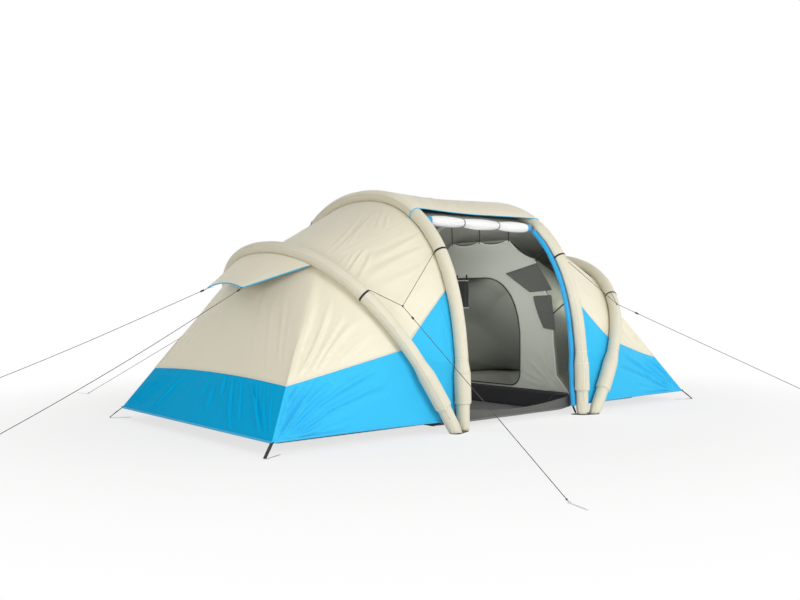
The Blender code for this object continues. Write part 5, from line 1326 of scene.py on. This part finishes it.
def make_flap(side):
    """The storm flap beside the front doorway: a narrow web with a padded edge."""
    label = hand(side)
    arch = MAIN[side]
    stations = (1.8, 2.5, 3, 4, 5, 6, 7, 8, 9, 10, 11, 11.45)
    reaches = (0.044, 0.045, 0.052, 0.059, 0.059, 0.048, 0.042, 0.038, 0.036, 0.034, 0.032, 0.031)
    s = arch.even(1.8, 11.45, 0.012)
    reach = np.pad(np.interp(s, stations, reaches), 4, mode="edge")
    reach = np.convolve(reach, np.ones(9) / 9, mode="valid")
    centre, inward, _ = arch.frame(s)
    middle = -arch.across
    line = living_line(side, s)
    length = lengths_along(centre)
    rows = []
    for k in range(len(s)):
        seat_in, seat_out = (line[k] - centre[k]) @ inward[k], (line[k] - centre[k]) @ middle
        run = np.array([reach[k] - seat_in, 0.071 - seat_out])
        turn = math.atan2(run[1], run[0])
        run = run / np.linalg.norm(run)
        step = np.array([-run[1], run[0]]) * 0.0010
        start = np.array([seat_in, seat_out]) + run * 0.0024
        plump = 0.0222 * (1 - 0.05 * (1 + math.sin(length[k] * 31 + 2 * math.sin(length[k] * 5))))
        outline = [start + step]
        for a in np.linspace(turn + math.pi - 0.10, turn - math.pi + 0.10, 29):
            crease = 1 - 0.03 * (1 + math.sin(3 * a + length[k] * 22))
            spoke = np.array([math.cos(a), math.sin(a)]) * plump * crease
            outline.append(np.array([reach[k], 0.071]) + spoke)
        outline.append(start - step)
        outline.append(start + step)
        rows.append([centre[k] + inward[k] * p[0] + middle * p[1] for p in outline])
    grid = np.array(rows)
    grid = capped(grid, grid[0].mean(0), grid[-1].mean(0))
    part = closed_piece("flap_cloth_" + label, grid, FLAP)
    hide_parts("storm_flap_" + label)


make_canopy()
make_rear_door()
make_roll()
for side in (-1, 1):
    make_flap(side)


# Groundsheet
def make_groundsheet():
    """The living room's floor, a sill at each door and the pads under the feet."""
    x = np.linspace(-SILL_X, SILL_X, 71)
    u = x / SILL_X
    rise = 0.037 + (0.092 - 0.037) * u * u
    parts = []
    for front in (1, -1):
        rows = []
        for t in np.linspace(1, 0, 7):
            y = np.full_like(x, -front * SILL_Y) - front * 0.003 * (1 - t)
            rows.append(np.stack([x, y, 0.065 + rise * t], -1))
        for t in np.linspace(0, 1, 12)[1:]:
            y, z = -front * (SILL_Y + (0.86 - SILL_Y) * t), 0.065 * (1 - t) ** 2 + 0.0025
            rows.append(np.stack([x, np.full_like(x, y), np.full_like(x, z)], -1))
        grid = np.array(rows)
        h = 0.003 * wobble(grid, 11.0, 91 + front)
        for near in (0, -1):
            corner, other, foot = grid[0, near], grid[0, -1 - near], grid[7, near]
            along, across = other - corner, foot - corner
            h = h + spokes(grid, corner, along, across, (7, 18, 31, 46), 0.34, 0.0055, 0.014, 92 + near)
        h = np.clip(h, -0.004, 0.02)
        weight = edge_weight(*grid.shape[:2], (0.10, 0.05), (0.04, 0.04))
        grid[..., 1] += -front * h * weight * 0.6
        grid[..., 2] = np.maximum(grid[..., 2] + h * weight * 0.5, 0.002)
        parts.append(grid)
    y = np.linspace(-0.90, 0.90, 84)
    gx, gy = np.meshgrid(x * (MAIN_X + 0.0040) / SILL_X, y, indexing="ij")
    floor = np.stack([gx, gy, np.full_like(gx, 0.0020)], -1)
    bumps = 0.006 * np.clip(wobble(floor, 5.0, 94), 0, 1) ** 2
    bumps = bumps + 0.003 * np.clip(wobble(floor, 14.0, 95), 0, 1) ** 2
    floor[..., 2] += bumps * edge_weight(*floor.shape[:2], (0.05, 0.05), (0.06, 0.06))
    mesh = mesh_of("ground", [floor], (0, 0, -1))
    part = link("groundsheet_floor", mesh, [GROUND])
    thicken(part, CLOTH, offset=-1.0)
    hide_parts("groundsheet")
    for where, grid in zip(("front", "rear"), parts):
        sill = link("sill_" + where, mesh_of("sill", [grid], (0, 0, 3.0)), [SILL, GROUND])
        thicken(sill, CLOTH, inner=1)
        ribbon("sill_binding_" + where, grid[0], (0, 0, 1.0), 0.010, 0.0026, EDGE_TAPE)
    for side in (-1, 1):
        for front in (1, -1):
            make_pad(side, front)


def make_pad(side, front):
    """The pad under a main and an end beam's feet, and the webbing that ties it to the sill."""
    tag = "%s_%s" % (facing(front), hand(side))
    feet = [arch.frame(0.0 if front == 1 else float(LAST))[0] for arch in (MAIN[side], END[side])]
    loop = []
    for foot in feet:
        for a in circle(25)[:-1]:
            loop.append((foot[0] + 0.0438 * math.cos(a), foot[1] + 0.0438 * math.sin(a)))
    tongue_y = -front * (abs(feet[0][1]) - FOOT - 0.012)
    for x in (SILL_X, SILL_X - 0.05):
        loop.append((side * x, tongue_y))
    loop = hull(loop)
    work = bmesh.new()
    low = [work.verts.new((x, y, 0.0)) for x, y in loop]
    top = [work.verts.new((x, y, 0.0078)) for x, y in loop]
    work.faces.new(low)
    work.faces.new(top)
    for k in range(len(loop)):
        n = (k + 1) % len(loop)
        work.faces.new((low[k], low[n], top[n], top[k]))
    bmesh.ops.recalc_face_normals(work, faces=work.faces)
    mesh = bpy.data.meshes.new("pad")
    work.to_mesh(mesh)
    work.free()
    mesh.uv_layers.new(name="UVMap")
    pad = link("foot_pad_" + tag, mesh, [POUCH], shade=False)
    round_edges(pad, 0.002, 3, 30)
    x = side * 0.712
    line = between(np.array([x, -front * SILL_Y, 0.108]), np.array([x, tongue_y, 0.0105]), 12)
    ribbon("corner_web_" + tag, line, (1.0, 0, 0), 0.024, 0.0016, POUCH)


def hull(points):
    """The outline round a set of points."""
    ordered = sorted(set(points))

    def half(chain_points):
        chain = []
        for p in chain_points:
            while len(chain) > 1:
                a, b = chain[-2], chain[-1]
                if (b[0] - a[0]) * (p[1] - a[1]) - (b[1] - a[1]) * (p[0] - a[0]) > 0:
                    break
                chain.pop()
            chain.append(p)
        return chain

    return half(ordered)[:-1] + half(reversed(ordered))[:-1]


make_groundsheet()


# Bedrooms
PARTITION = ((0.872, 0.205), (0.843, 0.379), (0.828, 0.566), (0.643, 0.878), (0.345, 1.001), (0.0, 1.0))
MIDDLE = ((0.905, 0.204), (0.870, 0.376), (0.815, 0.542), (0.560, 0.765), (0.300, 0.874), (0.0, 0.880))
BACK = ((0.905, 0.191), (0.840, 0.319), (0.770, 0.446), (0.500, 0.638), (0.250, 0.746), (0.0, 0.765))
HANGERS = (7.7, 10.6, 13.4, 15.0)
BACK_X = 2.26
# Folds that run out from the partition's corners: y, z, way up, angles, length, size, width and seed
CORNER_FOLDS = ((0.965, 0.185, 1, (12, 20, 28, 36, 44, 52, 61, 70, 79), 0.62, 0.0130, 0.013, 103),
                (0.71, 1.37, -1, (12, 26, 41, 58), 0.34, 0.0050, 0.014, 105),
                (0.38, 1.56, -1, (40, 62, 84, 106), 0.26, 0.0040, 0.012, 107))


def profile(shares):
    front = [(-ROOM_W, TUB)] + [(-ROOM_W * y, ROOM_H * z) for y, z in shares]
    return front + [(-y, z) for y, z in reversed(front[:-1])]


def doorway(grow=0.0, smooth=4):
    """The D-shaped doorway as (y, z) points."""
    front, hinge, low, top = -0.522 - grow, 0.450 + grow, 0.200 - grow, 1.210 + grow
    big = 0.120
    small = big / 2
    points = []
    corners = ((front + big, low + big, big, 1.0, 4), (hinge - small, low + small, small, 1.5, 2),
               (hinge - big, top - big, big, 0.0, 3))
    for y, z, corner, start, steps in corners:
        for k in range(steps * smooth + 1):
            a = start * math.pi + math.pi / 2 * k / (steps * smooth)
            points.append((y + corner * math.cos(a), z + corner * math.sin(a)))
    reach_y, reach_z = -0.050 - front, top - 0.580
    for k in range(6 * smooth + 1):
        a = math.pi / 2 * k / (6 * smooth)
        points.append((-0.050 - reach_y * math.sin(a) ** 0.88, 0.580 + reach_z * math.cos(a) ** 0.88))
    return points


def partition_outline():
    """The partition as (y, z) points with its scalloped top, and where its straps are sewn."""
    line = profile(PARTITION)
    middle = len(line) // 2
    straps = {}
    for k, station in enumerate(HANGERS):
        straps[middle - 3 + k] = station
        straps[middle + 3 - k] = LAST - station
    outline = []
    for k in range(len(line) - 1):
        a, b = np.array(line[k]), np.array(line[k + 1])
        outline.append(tuple(a))
        if min(a[1], b[1]) > ROOM_H * 0.85 and abs(b[0] - a[0]) > abs(b[1] - a[1]):
            run = np.linalg.norm(b - a)
            for u in np.linspace(0, 1, 13)[1:-1]:
                p = a + (b - a) * u
                outline.append((p[0], p[1] - 4 * u * (1 - u) * 0.09 * run))
    outline.append(tuple(line[-1]))
    return outline, [(line[k], straps[k]) for k in sorted(straps)]


def trim(name, points, pitch, width, thickness, material, body="tent", lift=0.0):
    """A tape along a line of points on a partition, flat against it."""
    line = dense_line(points, pitch)
    across = np.cross(unit(np.gradient(line, axis=0)), [1.0, 0, 0])
    ribbon(name, line, across, width, thickness, material, body, lift)


def make_bedroom(side):
    """One bedroom: its partition, the walls and roof behind it, its tub and what is sewn on."""
    label = hand(side)
    name = "bedroom_" + label
    outline, straps = partition_outline()

    def place(flat):
        y, z = flat[:, 0], flat[:, 1]
        p = np.stack([np.full(len(y), side * MAIN_X), y, z], -1)
        h = 0.0035 * wobble(p, 7.0, 101 + side) + 0.0015 * wobble(p, 17.0, 102)
        for f in (-1, 1):
            for corner_y, corner_z, up, angles, length, size, width, seed in CORNER_FOLDS:
                corner = (side * MAIN_X, f * corner_y, corner_z)
                h = h + spokes(p, corner, (0, -f, 0), (0, 0, up), angles, length, size, width, seed + f)
        p[:, 0] += side * (0.004 - np.clip(h, -0.010, 0.016) * 0.8)
        return p

    mesh = flat_mesh("partition", outline, [doorway(0.0, 3)], 0.022, place)
    part = link("partition_" + label, mesh, [INNER, INNER_DARK])
    face_to(mesh, (-side, 0, 0))
    thicken(part, INNER_CLOTH, inner=1)
    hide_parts(name)
    # walls and roof behind the partition
    sections = [(MAIN_X + 0.004, profile(PARTITION)), (1.25, profile(MIDDLE)), (1.62, profile(BACK))]
    end_share = [1.0, 0.90, 0.75, 0.60, 0.40, 0.20, 0.0]
    end_share = [-v for v in end_share] + end_share[:-1][::-1]
    sections.append((BACK_X, [(ROOM_W * v, TUB) for v in end_share]))
    dense = []
    for x, line in sections:
        at = np.linspace(0, len(line) - 1, 73)
        y, z = (np.interp(at, np.arange(len(line)), column) for column in np.array(line).T)
        dense.append(np.stack([np.full(73, side * x), y, z], -1))
    rows = []
    for a, b, count in zip(dense, dense[1:], (14, 12, 18)):
        for k in range(count):
            rows.append(a + (b - a) * k / count)
    rows.append(dense[-1])
    grid = np.array(rows)
    h = 0.006 * wobble(grid, 5.0, 111) + 0.002 * wobble(grid, 13.0, 112)
    h = -np.abs(h) * edge_weight(*grid.shape[:2], (0.05, 0.03), (0.03, 0.03))
    grid = displaced(grid, h, (side * 1.4, 0, 0.4))
    mesh = mesh_of("walls", [grid], (side * 1.3, 0, 0.4))
    walls = link("bedroom_walls_" + label, mesh, [INNER_DARK])
    thicken(walls, INNER_CLOTH)
    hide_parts(name)
    make_tub(side, label)
    # sewn details on the partition
    front_x = side * (MAIN_X - 0.0008)
    for front in (1, -1):
        edge = [(front_x, -front * abs(y), z) for y, z in profile(PARTITION)[:5]]
        trim("partition_seam_%s_%s" % (facing(front), label), edge, 0.03, 0.012, 0.0008, BINDING,
             lift=np.array([-side * 0.0008, front * 0.006, 0]))
    top = [(front_x, y, z) for y, z in outline if z > ROOM_H * 0.93]
    trim("partition_top_" + label, top, 0.02, 0.010, 0.0010, BINDING,
         lift=np.array([-side * 0.0008, 0, -0.004]))
    make_straps(side, label, straps)
    edge = [(side * (MAIN_X - 0.0010), y, z) for y, z in doorway(0.004) + doorway(0.004)[:1]]
    trim("bedroom_zip_tape_" + label, edge, 0.02, 0.012, 0.0008, ZIP_TAPE)
    if side > 0:
        make_pockets(side)


def face_to(mesh, way):
    """Turns a panel's front towards a direction."""
    votes = sum(p.normal.dot(Vector(way)) * p.area for p in mesh.polygons)
    if votes < 0:
        mesh.flip_normals()


def dense_line(points, pitch):
    """More points on straight runs, at most two pitches apart."""
    points = np.array(points, float)
    out = []
    for a, b in zip(points, points[1:]):
        count = max(int(np.linalg.norm(b - a) / pitch), 1)
        out += [a + (b - a) * k / count for k in range(count)]
    out.append(points[-1])
    return np.array(out)


def make_straps(side, label, straps):
    """Black straps that hang the partition from the main beam."""
    for k, ((y, z), station) in enumerate(straps):
        seat_at = MAIN[side].at(station, 0.0, TUBE + 0.0004)
        start = np.array([side * MAIN_X, y, z - 0.018])
        across = np.cross(unit(seat_at - start), [1.0, 0, 0])
        ribbon("hanger_%s_%d" % (label, k), between(start, seat_at, 8), across, 0.012, 0.0016, BLACK,
               lift=np.array([-side * 0.002, 0, 0]))


def make_tub(side, label):
    """The dark tub floor of a bedroom, with its sloping sides."""
    rims = []
    for end_x, half, level in (TUB_FLOOR, (2.19, 0.920, 0.145), (BACK_X, ROOM_W, TUB)):
        corners = ((MAIN_X, -half), (end_x, -half), (end_x, half), (MAIN_X, half))
        rims.append([np.array([side * x, y, level]) for x, y in corners])
    patches = []
    for low, high in zip(rims, rims[1:]):
        for a in range(3):
            foot, head = between(low[a], low[a + 1], 21), between(high[a], high[a + 1], 21)
            patches.append(between(foot, head, 5))
    x = side * (MAIN_X + 0.0006)
    wall = np.array([[(x, -half + 2 * half * u, level) for u in np.linspace(0, 1, 31)]
                     for half, level in ((0.920, 0.0015), (0.985, 0.030), (1.050, 0.074), (1.080, 0.145),
                                         (ROOM_W, TUB + 0.004))])
    front_wall = link("tub_front_" + label, mesh_of("front", [wall], (side * 1.5, 0, 0.1)), [GROUND])
    thicken(front_wall, 0.0008)
    end_x, half, level = TUB_FLOOR
    u, v = np.meshgrid(np.linspace(0, 1, 41), np.linspace(0, 1, 41), indexing="ij")
    floor_y = -half + 2 * half * v
    floor = np.stack([side * (MAIN_X + (end_x - MAIN_X) * u), floor_y, np.full_like(u, level)], -1)
    bumps = 0.010 * np.clip(wobble(floor, 5.0, 121), 0, 1) ** 2
    floor[..., 2] += bumps * edge_weight(41, 41, (0.05, 0.05), (0.05, 0.05))
    patches.append(floor)
    mesh = mesh_of("tub", patches, closed=True)
    face_to(mesh, (0, 0, 1))
    part = link("tub_" + label, mesh, [LINING, INNER_DARK])
    thicken(part, CLOTH, inner=1)
    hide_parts("bedroom_" + label)


def make_pockets(side):
    """Mesh pockets sewn to the partition beside the doorway."""
    quads = (((-0.363, 1.249), (-0.734, 1.334), (-0.910, 1.094), (-0.650, 1.077)),
             ((-0.698, 1.031), (-0.905, 1.040), (-0.945, 0.734), (-0.818, 0.748)))
    for front in (1, -1):
        for k, quad in enumerate(quads):
            points = [np.array([y * front, z]) for y, z in quad]
            curve = []
            for i, (a, b) in enumerate(zip(points, points[1:] + points[:1])):
                for u in np.linspace(0, 1, 8)[:-1]:
                    p = a * (1 - u) + b * u
                    if i == 3:
                        p = p + np.array([front, 0.6]) * 0.028 * 4 * u * (1 - u) * (1 if k == 0 else 0.6)
                    curve.append(tuple(p))

            def place(flat):
                p = np.stack([np.full(len(flat), side * (MAIN_X - 0.003)), flat[:, 0], flat[:, 1]], -1)
                p[:, 0] -= side * 0.003 * (1 + wobble(p, 16.0, 131))
                return p

            mesh = flat_mesh("pocket", curve, [], 0.03, place)
            face_to(mesh, (-side, 0, 0))
            tag = "%s_%d" % (facing(front), k)
            link("pocket_" + tag, mesh, [NET])
            edge = [(side * (MAIN_X - 0.0062), y, z) for y, z in curve + curve[:1]]
            trim("pocket_edge_" + tag, edge, 0.02, 0.010, 0.0010, EDGE_TAPE)
        a, b = (np.array([side * (MAIN_X - 0.0066), -front * y, 0.894]) for y in (0.757, 0.925))
        ribbon("pocket_divider_" + facing(front), between(a, b, 8), (0, 0, 1.0), 0.012, 0.0010, EDGE_TAPE)


def make_left_door():
    """The closed door of the left bedroom, with its zip along the free edges."""
    x = -(MAIN_X - GAP - 0.0015)

    def place(flat):
        p = np.stack([np.full(len(flat), x), flat[:, 0], flat[:, 1]], -1)
        h = 0.0030 * wobble(p, 6.0, 141)
        low_folds, high_folds = (10, 24, 38, 54, 70), (12, 28, 44, 60)
        h = h + spokes(p, (x, -0.45, 0.26), (0, 1, 0), (0, 0, 1), low_folds, 0.45, 0.0050, 0.014, 142)
        h = h + spokes(p, (x, 0.45, 1.17), (0, -1, 0), (0, 0, -1), high_folds, 0.40, 0.0045, 0.014, 143)
        p[:, 0] += 0.0035 + np.clip(h, -0.003, 0.010)
        return p

    mesh = flat_mesh("door", doorway(0.012, 3), [], 0.03, place)
    face_to(mesh, (1, 0, 0))
    part = link("bedroom_door_cloth", mesh, [INNER], "bedroom_door_left")
    thicken(part, INNER_CLOTH)
    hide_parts("bedroom_door_left")
    edge = [(x + 0.0025, y, z) for y, z in doorway(0.006) + doorway(0.006)[:1]]
    trim("door_zip_tape", edge, 0.02, 0.016, 0.0008, ZIP_TAPE, "bedroom_door_left")
    polish("bedroom_zip_slider_left", ZIP, 0.0008)


def make_door_roll():
    """The right bedroom's door, rolled up beside its doorway."""
    z = np.linspace(0.200, 1.090, 90)
    u = (z - 0.2) / 0.89
    ties = np.exp(-((u - 0.25) / 0.022) ** 2) + np.exp(-((u - 0.75) / 0.022) ** 2)
    radius = 0.0292 - 0.007 * ties
    turn = circle(37)
    spiral = 0.004 * ((turn[None, :] / (2 * np.pi) + 0.2 * u[:, None] + 0.1) % 1.0)
    r = radius[:, None] - 0.003 + spiral + 0.0012 * np.sin(turn * 5 + 6 * u[:, None])
    r = np.minimum(r, 0.0298)
    cx, cy = MAIN_X - GAP - 0.030, 0.480
    grid = np.stack([cx + r * np.cos(turn), cy + r * np.sin(turn), np.repeat(z[:, None], 37, 1)], -1)
    grid = capped(grid, grid[0].mean(0), grid[-1].mean(0))
    part = closed_piece("rolled_door_cloth", grid, INNER, sharp=60)
    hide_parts("bedroom_door_roll_right")
    for k, at in enumerate((0.25, 0.75)):
        level = 0.2 + 0.89 * at
        angle = circle(31)
        line = np.stack([cx + 0.0240 * np.cos(angle), cy + 0.0240 * np.sin(angle), np.full(31, level)], -1)
        ribbon("rolled_door_tie_%d" % k, line, (0, 0, 1.0), 0.012, 0.0014, BLACK)
        toggle = [(0, 0), (0, 0.003), (0.001, 0.0038), (0.019, 0.0038), (0.020, 0.003), (0.020, 0)]
        lathe("rolled_door_toggle_%d" % k, (cx - 0.0265, cy - 0.010, level), (0, 1, 0), toggle, PLASTIC,
              sides=16)


def pouch_tape(name, line, across, width, thickness, material):
    ribbon(name, line, across, width, thickness, material, "organiser")


def make_organiser():
    """An open pouch that hangs in the right bedroom's doorway."""
    x0, x1 = MAIN_X - GAP - 0.050, MAIN_X - GAP
    y0, y1 = 0.147, 0.347
    z0, z1 = 0.915, 1.195
    corner = 0.010

    def ring(level, inset):
        points = []
        for cx, cy, start in ((x1, y1, 0), (x0, y1, 90), (x0, y0, 180), (x1, y0, 270)):
            sx, sy = (-1 if cx == x1 else 1), (-1 if cy == y1 else 1)
            middle_x, middle_y = cx + sx * (corner + inset), cy + sy * (corner + inset)
            for a in np.radians(np.linspace(start, start + 90, 5)):
                points.append([middle_x + corner * math.cos(a), middle_y + corner * math.sin(a), level])
        return points + points[:1]

    outer = [np.array(ring(z, 0.0)) for z in np.linspace(z0, z1, 12)]
    bottom = np.repeat(outer[0].mean(0)[None], len(outer[0]), 0)
    inner = [np.array(ring(z, 0.0018)) for z in np.linspace(z1, z0 + 0.004, 12)]
    floor = np.repeat(inner[-1].mean(0)[None], len(outer[0]), 0)
    grid = np.array([bottom] + outer + inner + [floor])
    part = closed_piece("pouch_cloth_piece", grid, POUCH, "organiser", sharp=50)
    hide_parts("organiser")
    for k, level in enumerate((z1 - 0.004, z0 + 0.005)):
        pouch_tape("pouch_binding_%d" % k, ring(level, -0.0008), (0, 0, 1.0), 0.007, 0.0010, BINDING)
    for k, level in enumerate((1.02, 1.10)):
        line = [[x0 - 0.0012, y, level] for y in np.linspace(y0 + 0.012, y1 - 0.012, 8)]
        pouch_tape("pouch_pocket_%d" % k, line, (0, 0, 1.0), 0.008, 0.0012, BLACK)
    for k, y in enumerate((0.247 - 0.0667, 0.247 + 0.0667)):
        line = [[MAIN_X - 0.0022, y, z] for z in np.linspace(1.125, 1.249, 10)]
        pouch_tape("pouch_tab_%d" % k, line, (0, 1.0, 0), 0.020, 0.0016, BLACK)


for side in (-1, 1):
    make_bedroom(side)
make_left_door()
make_door_roll()
make_organiser()


# Floor, backdrop and light
def seen_directly(tree):
    """One for rays that come from the eye, a reflection or a glass, and nought for the others."""
    path = tree.nodes.new("ShaderNodeLightPath")
    seen = path.outputs["Is Camera Ray"]
    for ray in ("Is Glossy Ray", "Is Transmission Ray"):
        larger = tree.nodes.new("ShaderNodeMath")
        larger.operation = "MAXIMUM"
        tree.links.new(seen, larger.inputs[0])
        tree.links.new(path.outputs[ray], larger.inputs[1])
        seen = larger.outputs[0]
    return seen


def show_glow(tree, share, lit, glow, output):
    """Puts a glow in a lit shader's place by a share."""
    mix = tree.nodes.new("ShaderNodeMixShader")
    for k, socket in enumerate((share, lit.outputs[0], glow.outputs[0])):
        tree.links.new(socket, mix.inputs[k])
    tree.links.new(mix.outputs[0], tree.nodes[output].inputs["Surface"])


def make_stage():
    """A floor that is lit near the tent and plain white far from it, in a world seen as white."""
    size = 60.0
    mesh = bpy.data.meshes.new("floor")
    mesh.from_pydata([(-size, -size, 0), (size, -size, 0), (size, size, 0), (-size, size, 0)], [],
                     [(0, 1, 2, 3)])
    floor = added("floor", mesh)
    made = Mat("floor", (0.80, 0.80, 0.80), 0.9, specular=0.1)
    glow = made.add("ShaderNodeEmission", Color=(1, 1, 1, 1), Strength=1.0)
    length = made.add("ShaderNodeVectorMath", operation="LENGTH")
    made.join(made.coords.outputs["Object"], length.inputs[0])
    fade = made.ramp(length.outputs["Value"], 2.2, 5.5, 0.72, 1.0)
    share = made.math("MULTIPLY", seen_directly(made.tree), fade)
    show_glow(made.tree, share, made.shader, glow, "Material Output")
    mesh.materials.append(made.data)
    world = bpy.data.worlds.new("world")
    bpy.context.scene.world = world
    world.use_nodes = True
    tree = world.node_tree
    plain = tree.nodes["Background"]
    plain.inputs["Color"].default_value = (1.0, 0.985, 0.94, 1)
    plain.inputs["Strength"].default_value = 0.38
    white = tree.nodes.new("ShaderNodeBackground")
    white.inputs["Color"].default_value = (1, 1, 1, 1)
    white.inputs["Strength"].default_value = 1.0
    show_glow(tree, seen_directly(tree), plain, white, "World Output")


def lamp(name, place, target, size, power, colour=(1, 1, 1), spread=180):
    data = bpy.data.lights.new(name, "AREA")
    data.shape = "RECTANGLE"
    data.size, data.size_y = size
    data.energy = power
    data.color = colour
    data.spread = math.radians(spread)
    part = added(name, data)
    part.location = place
    part.rotation_euler = (Vector(target) - Vector(place)).to_track_quat("-Z", "Y").to_euler()
    part.visible_camera = False


make_stage()
WARM = (1.0, 0.985, 0.94)
lamp("key", (5.5, -8.5, 5.0), (0.2, 0, 0.7), (4.5, 4.5), 160.0, (1.0, 0.985, 0.95))
lamp("front", (-1.5, -10.0, 4.0), (0, 0, 0.7), (4.5, 4.5), 500.0)
lamp("right", (9.5, -5.0, 4.0), (0, 0, 0.7), (4.0, 4.0), 105.0)
lamp("left", (-9.0, -3.8, 1.5), (-1.5, 0, 0.7), (5.0, 2.2), 172.0, WARM)
lamp("back", (-3.0, 9.0, 4.5), (0, 0, 0.8), (6.0, 4.0), 90.0, WARM)
lamp("inside", (-0.45, -0.55, 1.25), (0.73, 0.0, 0.8), (0.5, 0.5), 8.8)
for side in (-1, 1):
    label = hand(side)
    lamp("roof_" + label, (-side * 0.45, 0.0, 1.70), (side * 1.00, 0.0, 1.735), (0.8, 0.10), 0.36,
         spread=28)
    lamp("bedroom_" + label, (side * 1.15, 0.0, 1.18), (side * 1.6, 0.0, 0.0), (0.8, 0.36), 7.0)
    for front in (1, -1):
        x, way = side * 0.95, -front
        lamp("corridor_%s_%s" % (label, facing(front)), (x, way * 0.97, 1.05), (x, way * 1.35, 1.25),
             (0.16, 0.24), 2.6)
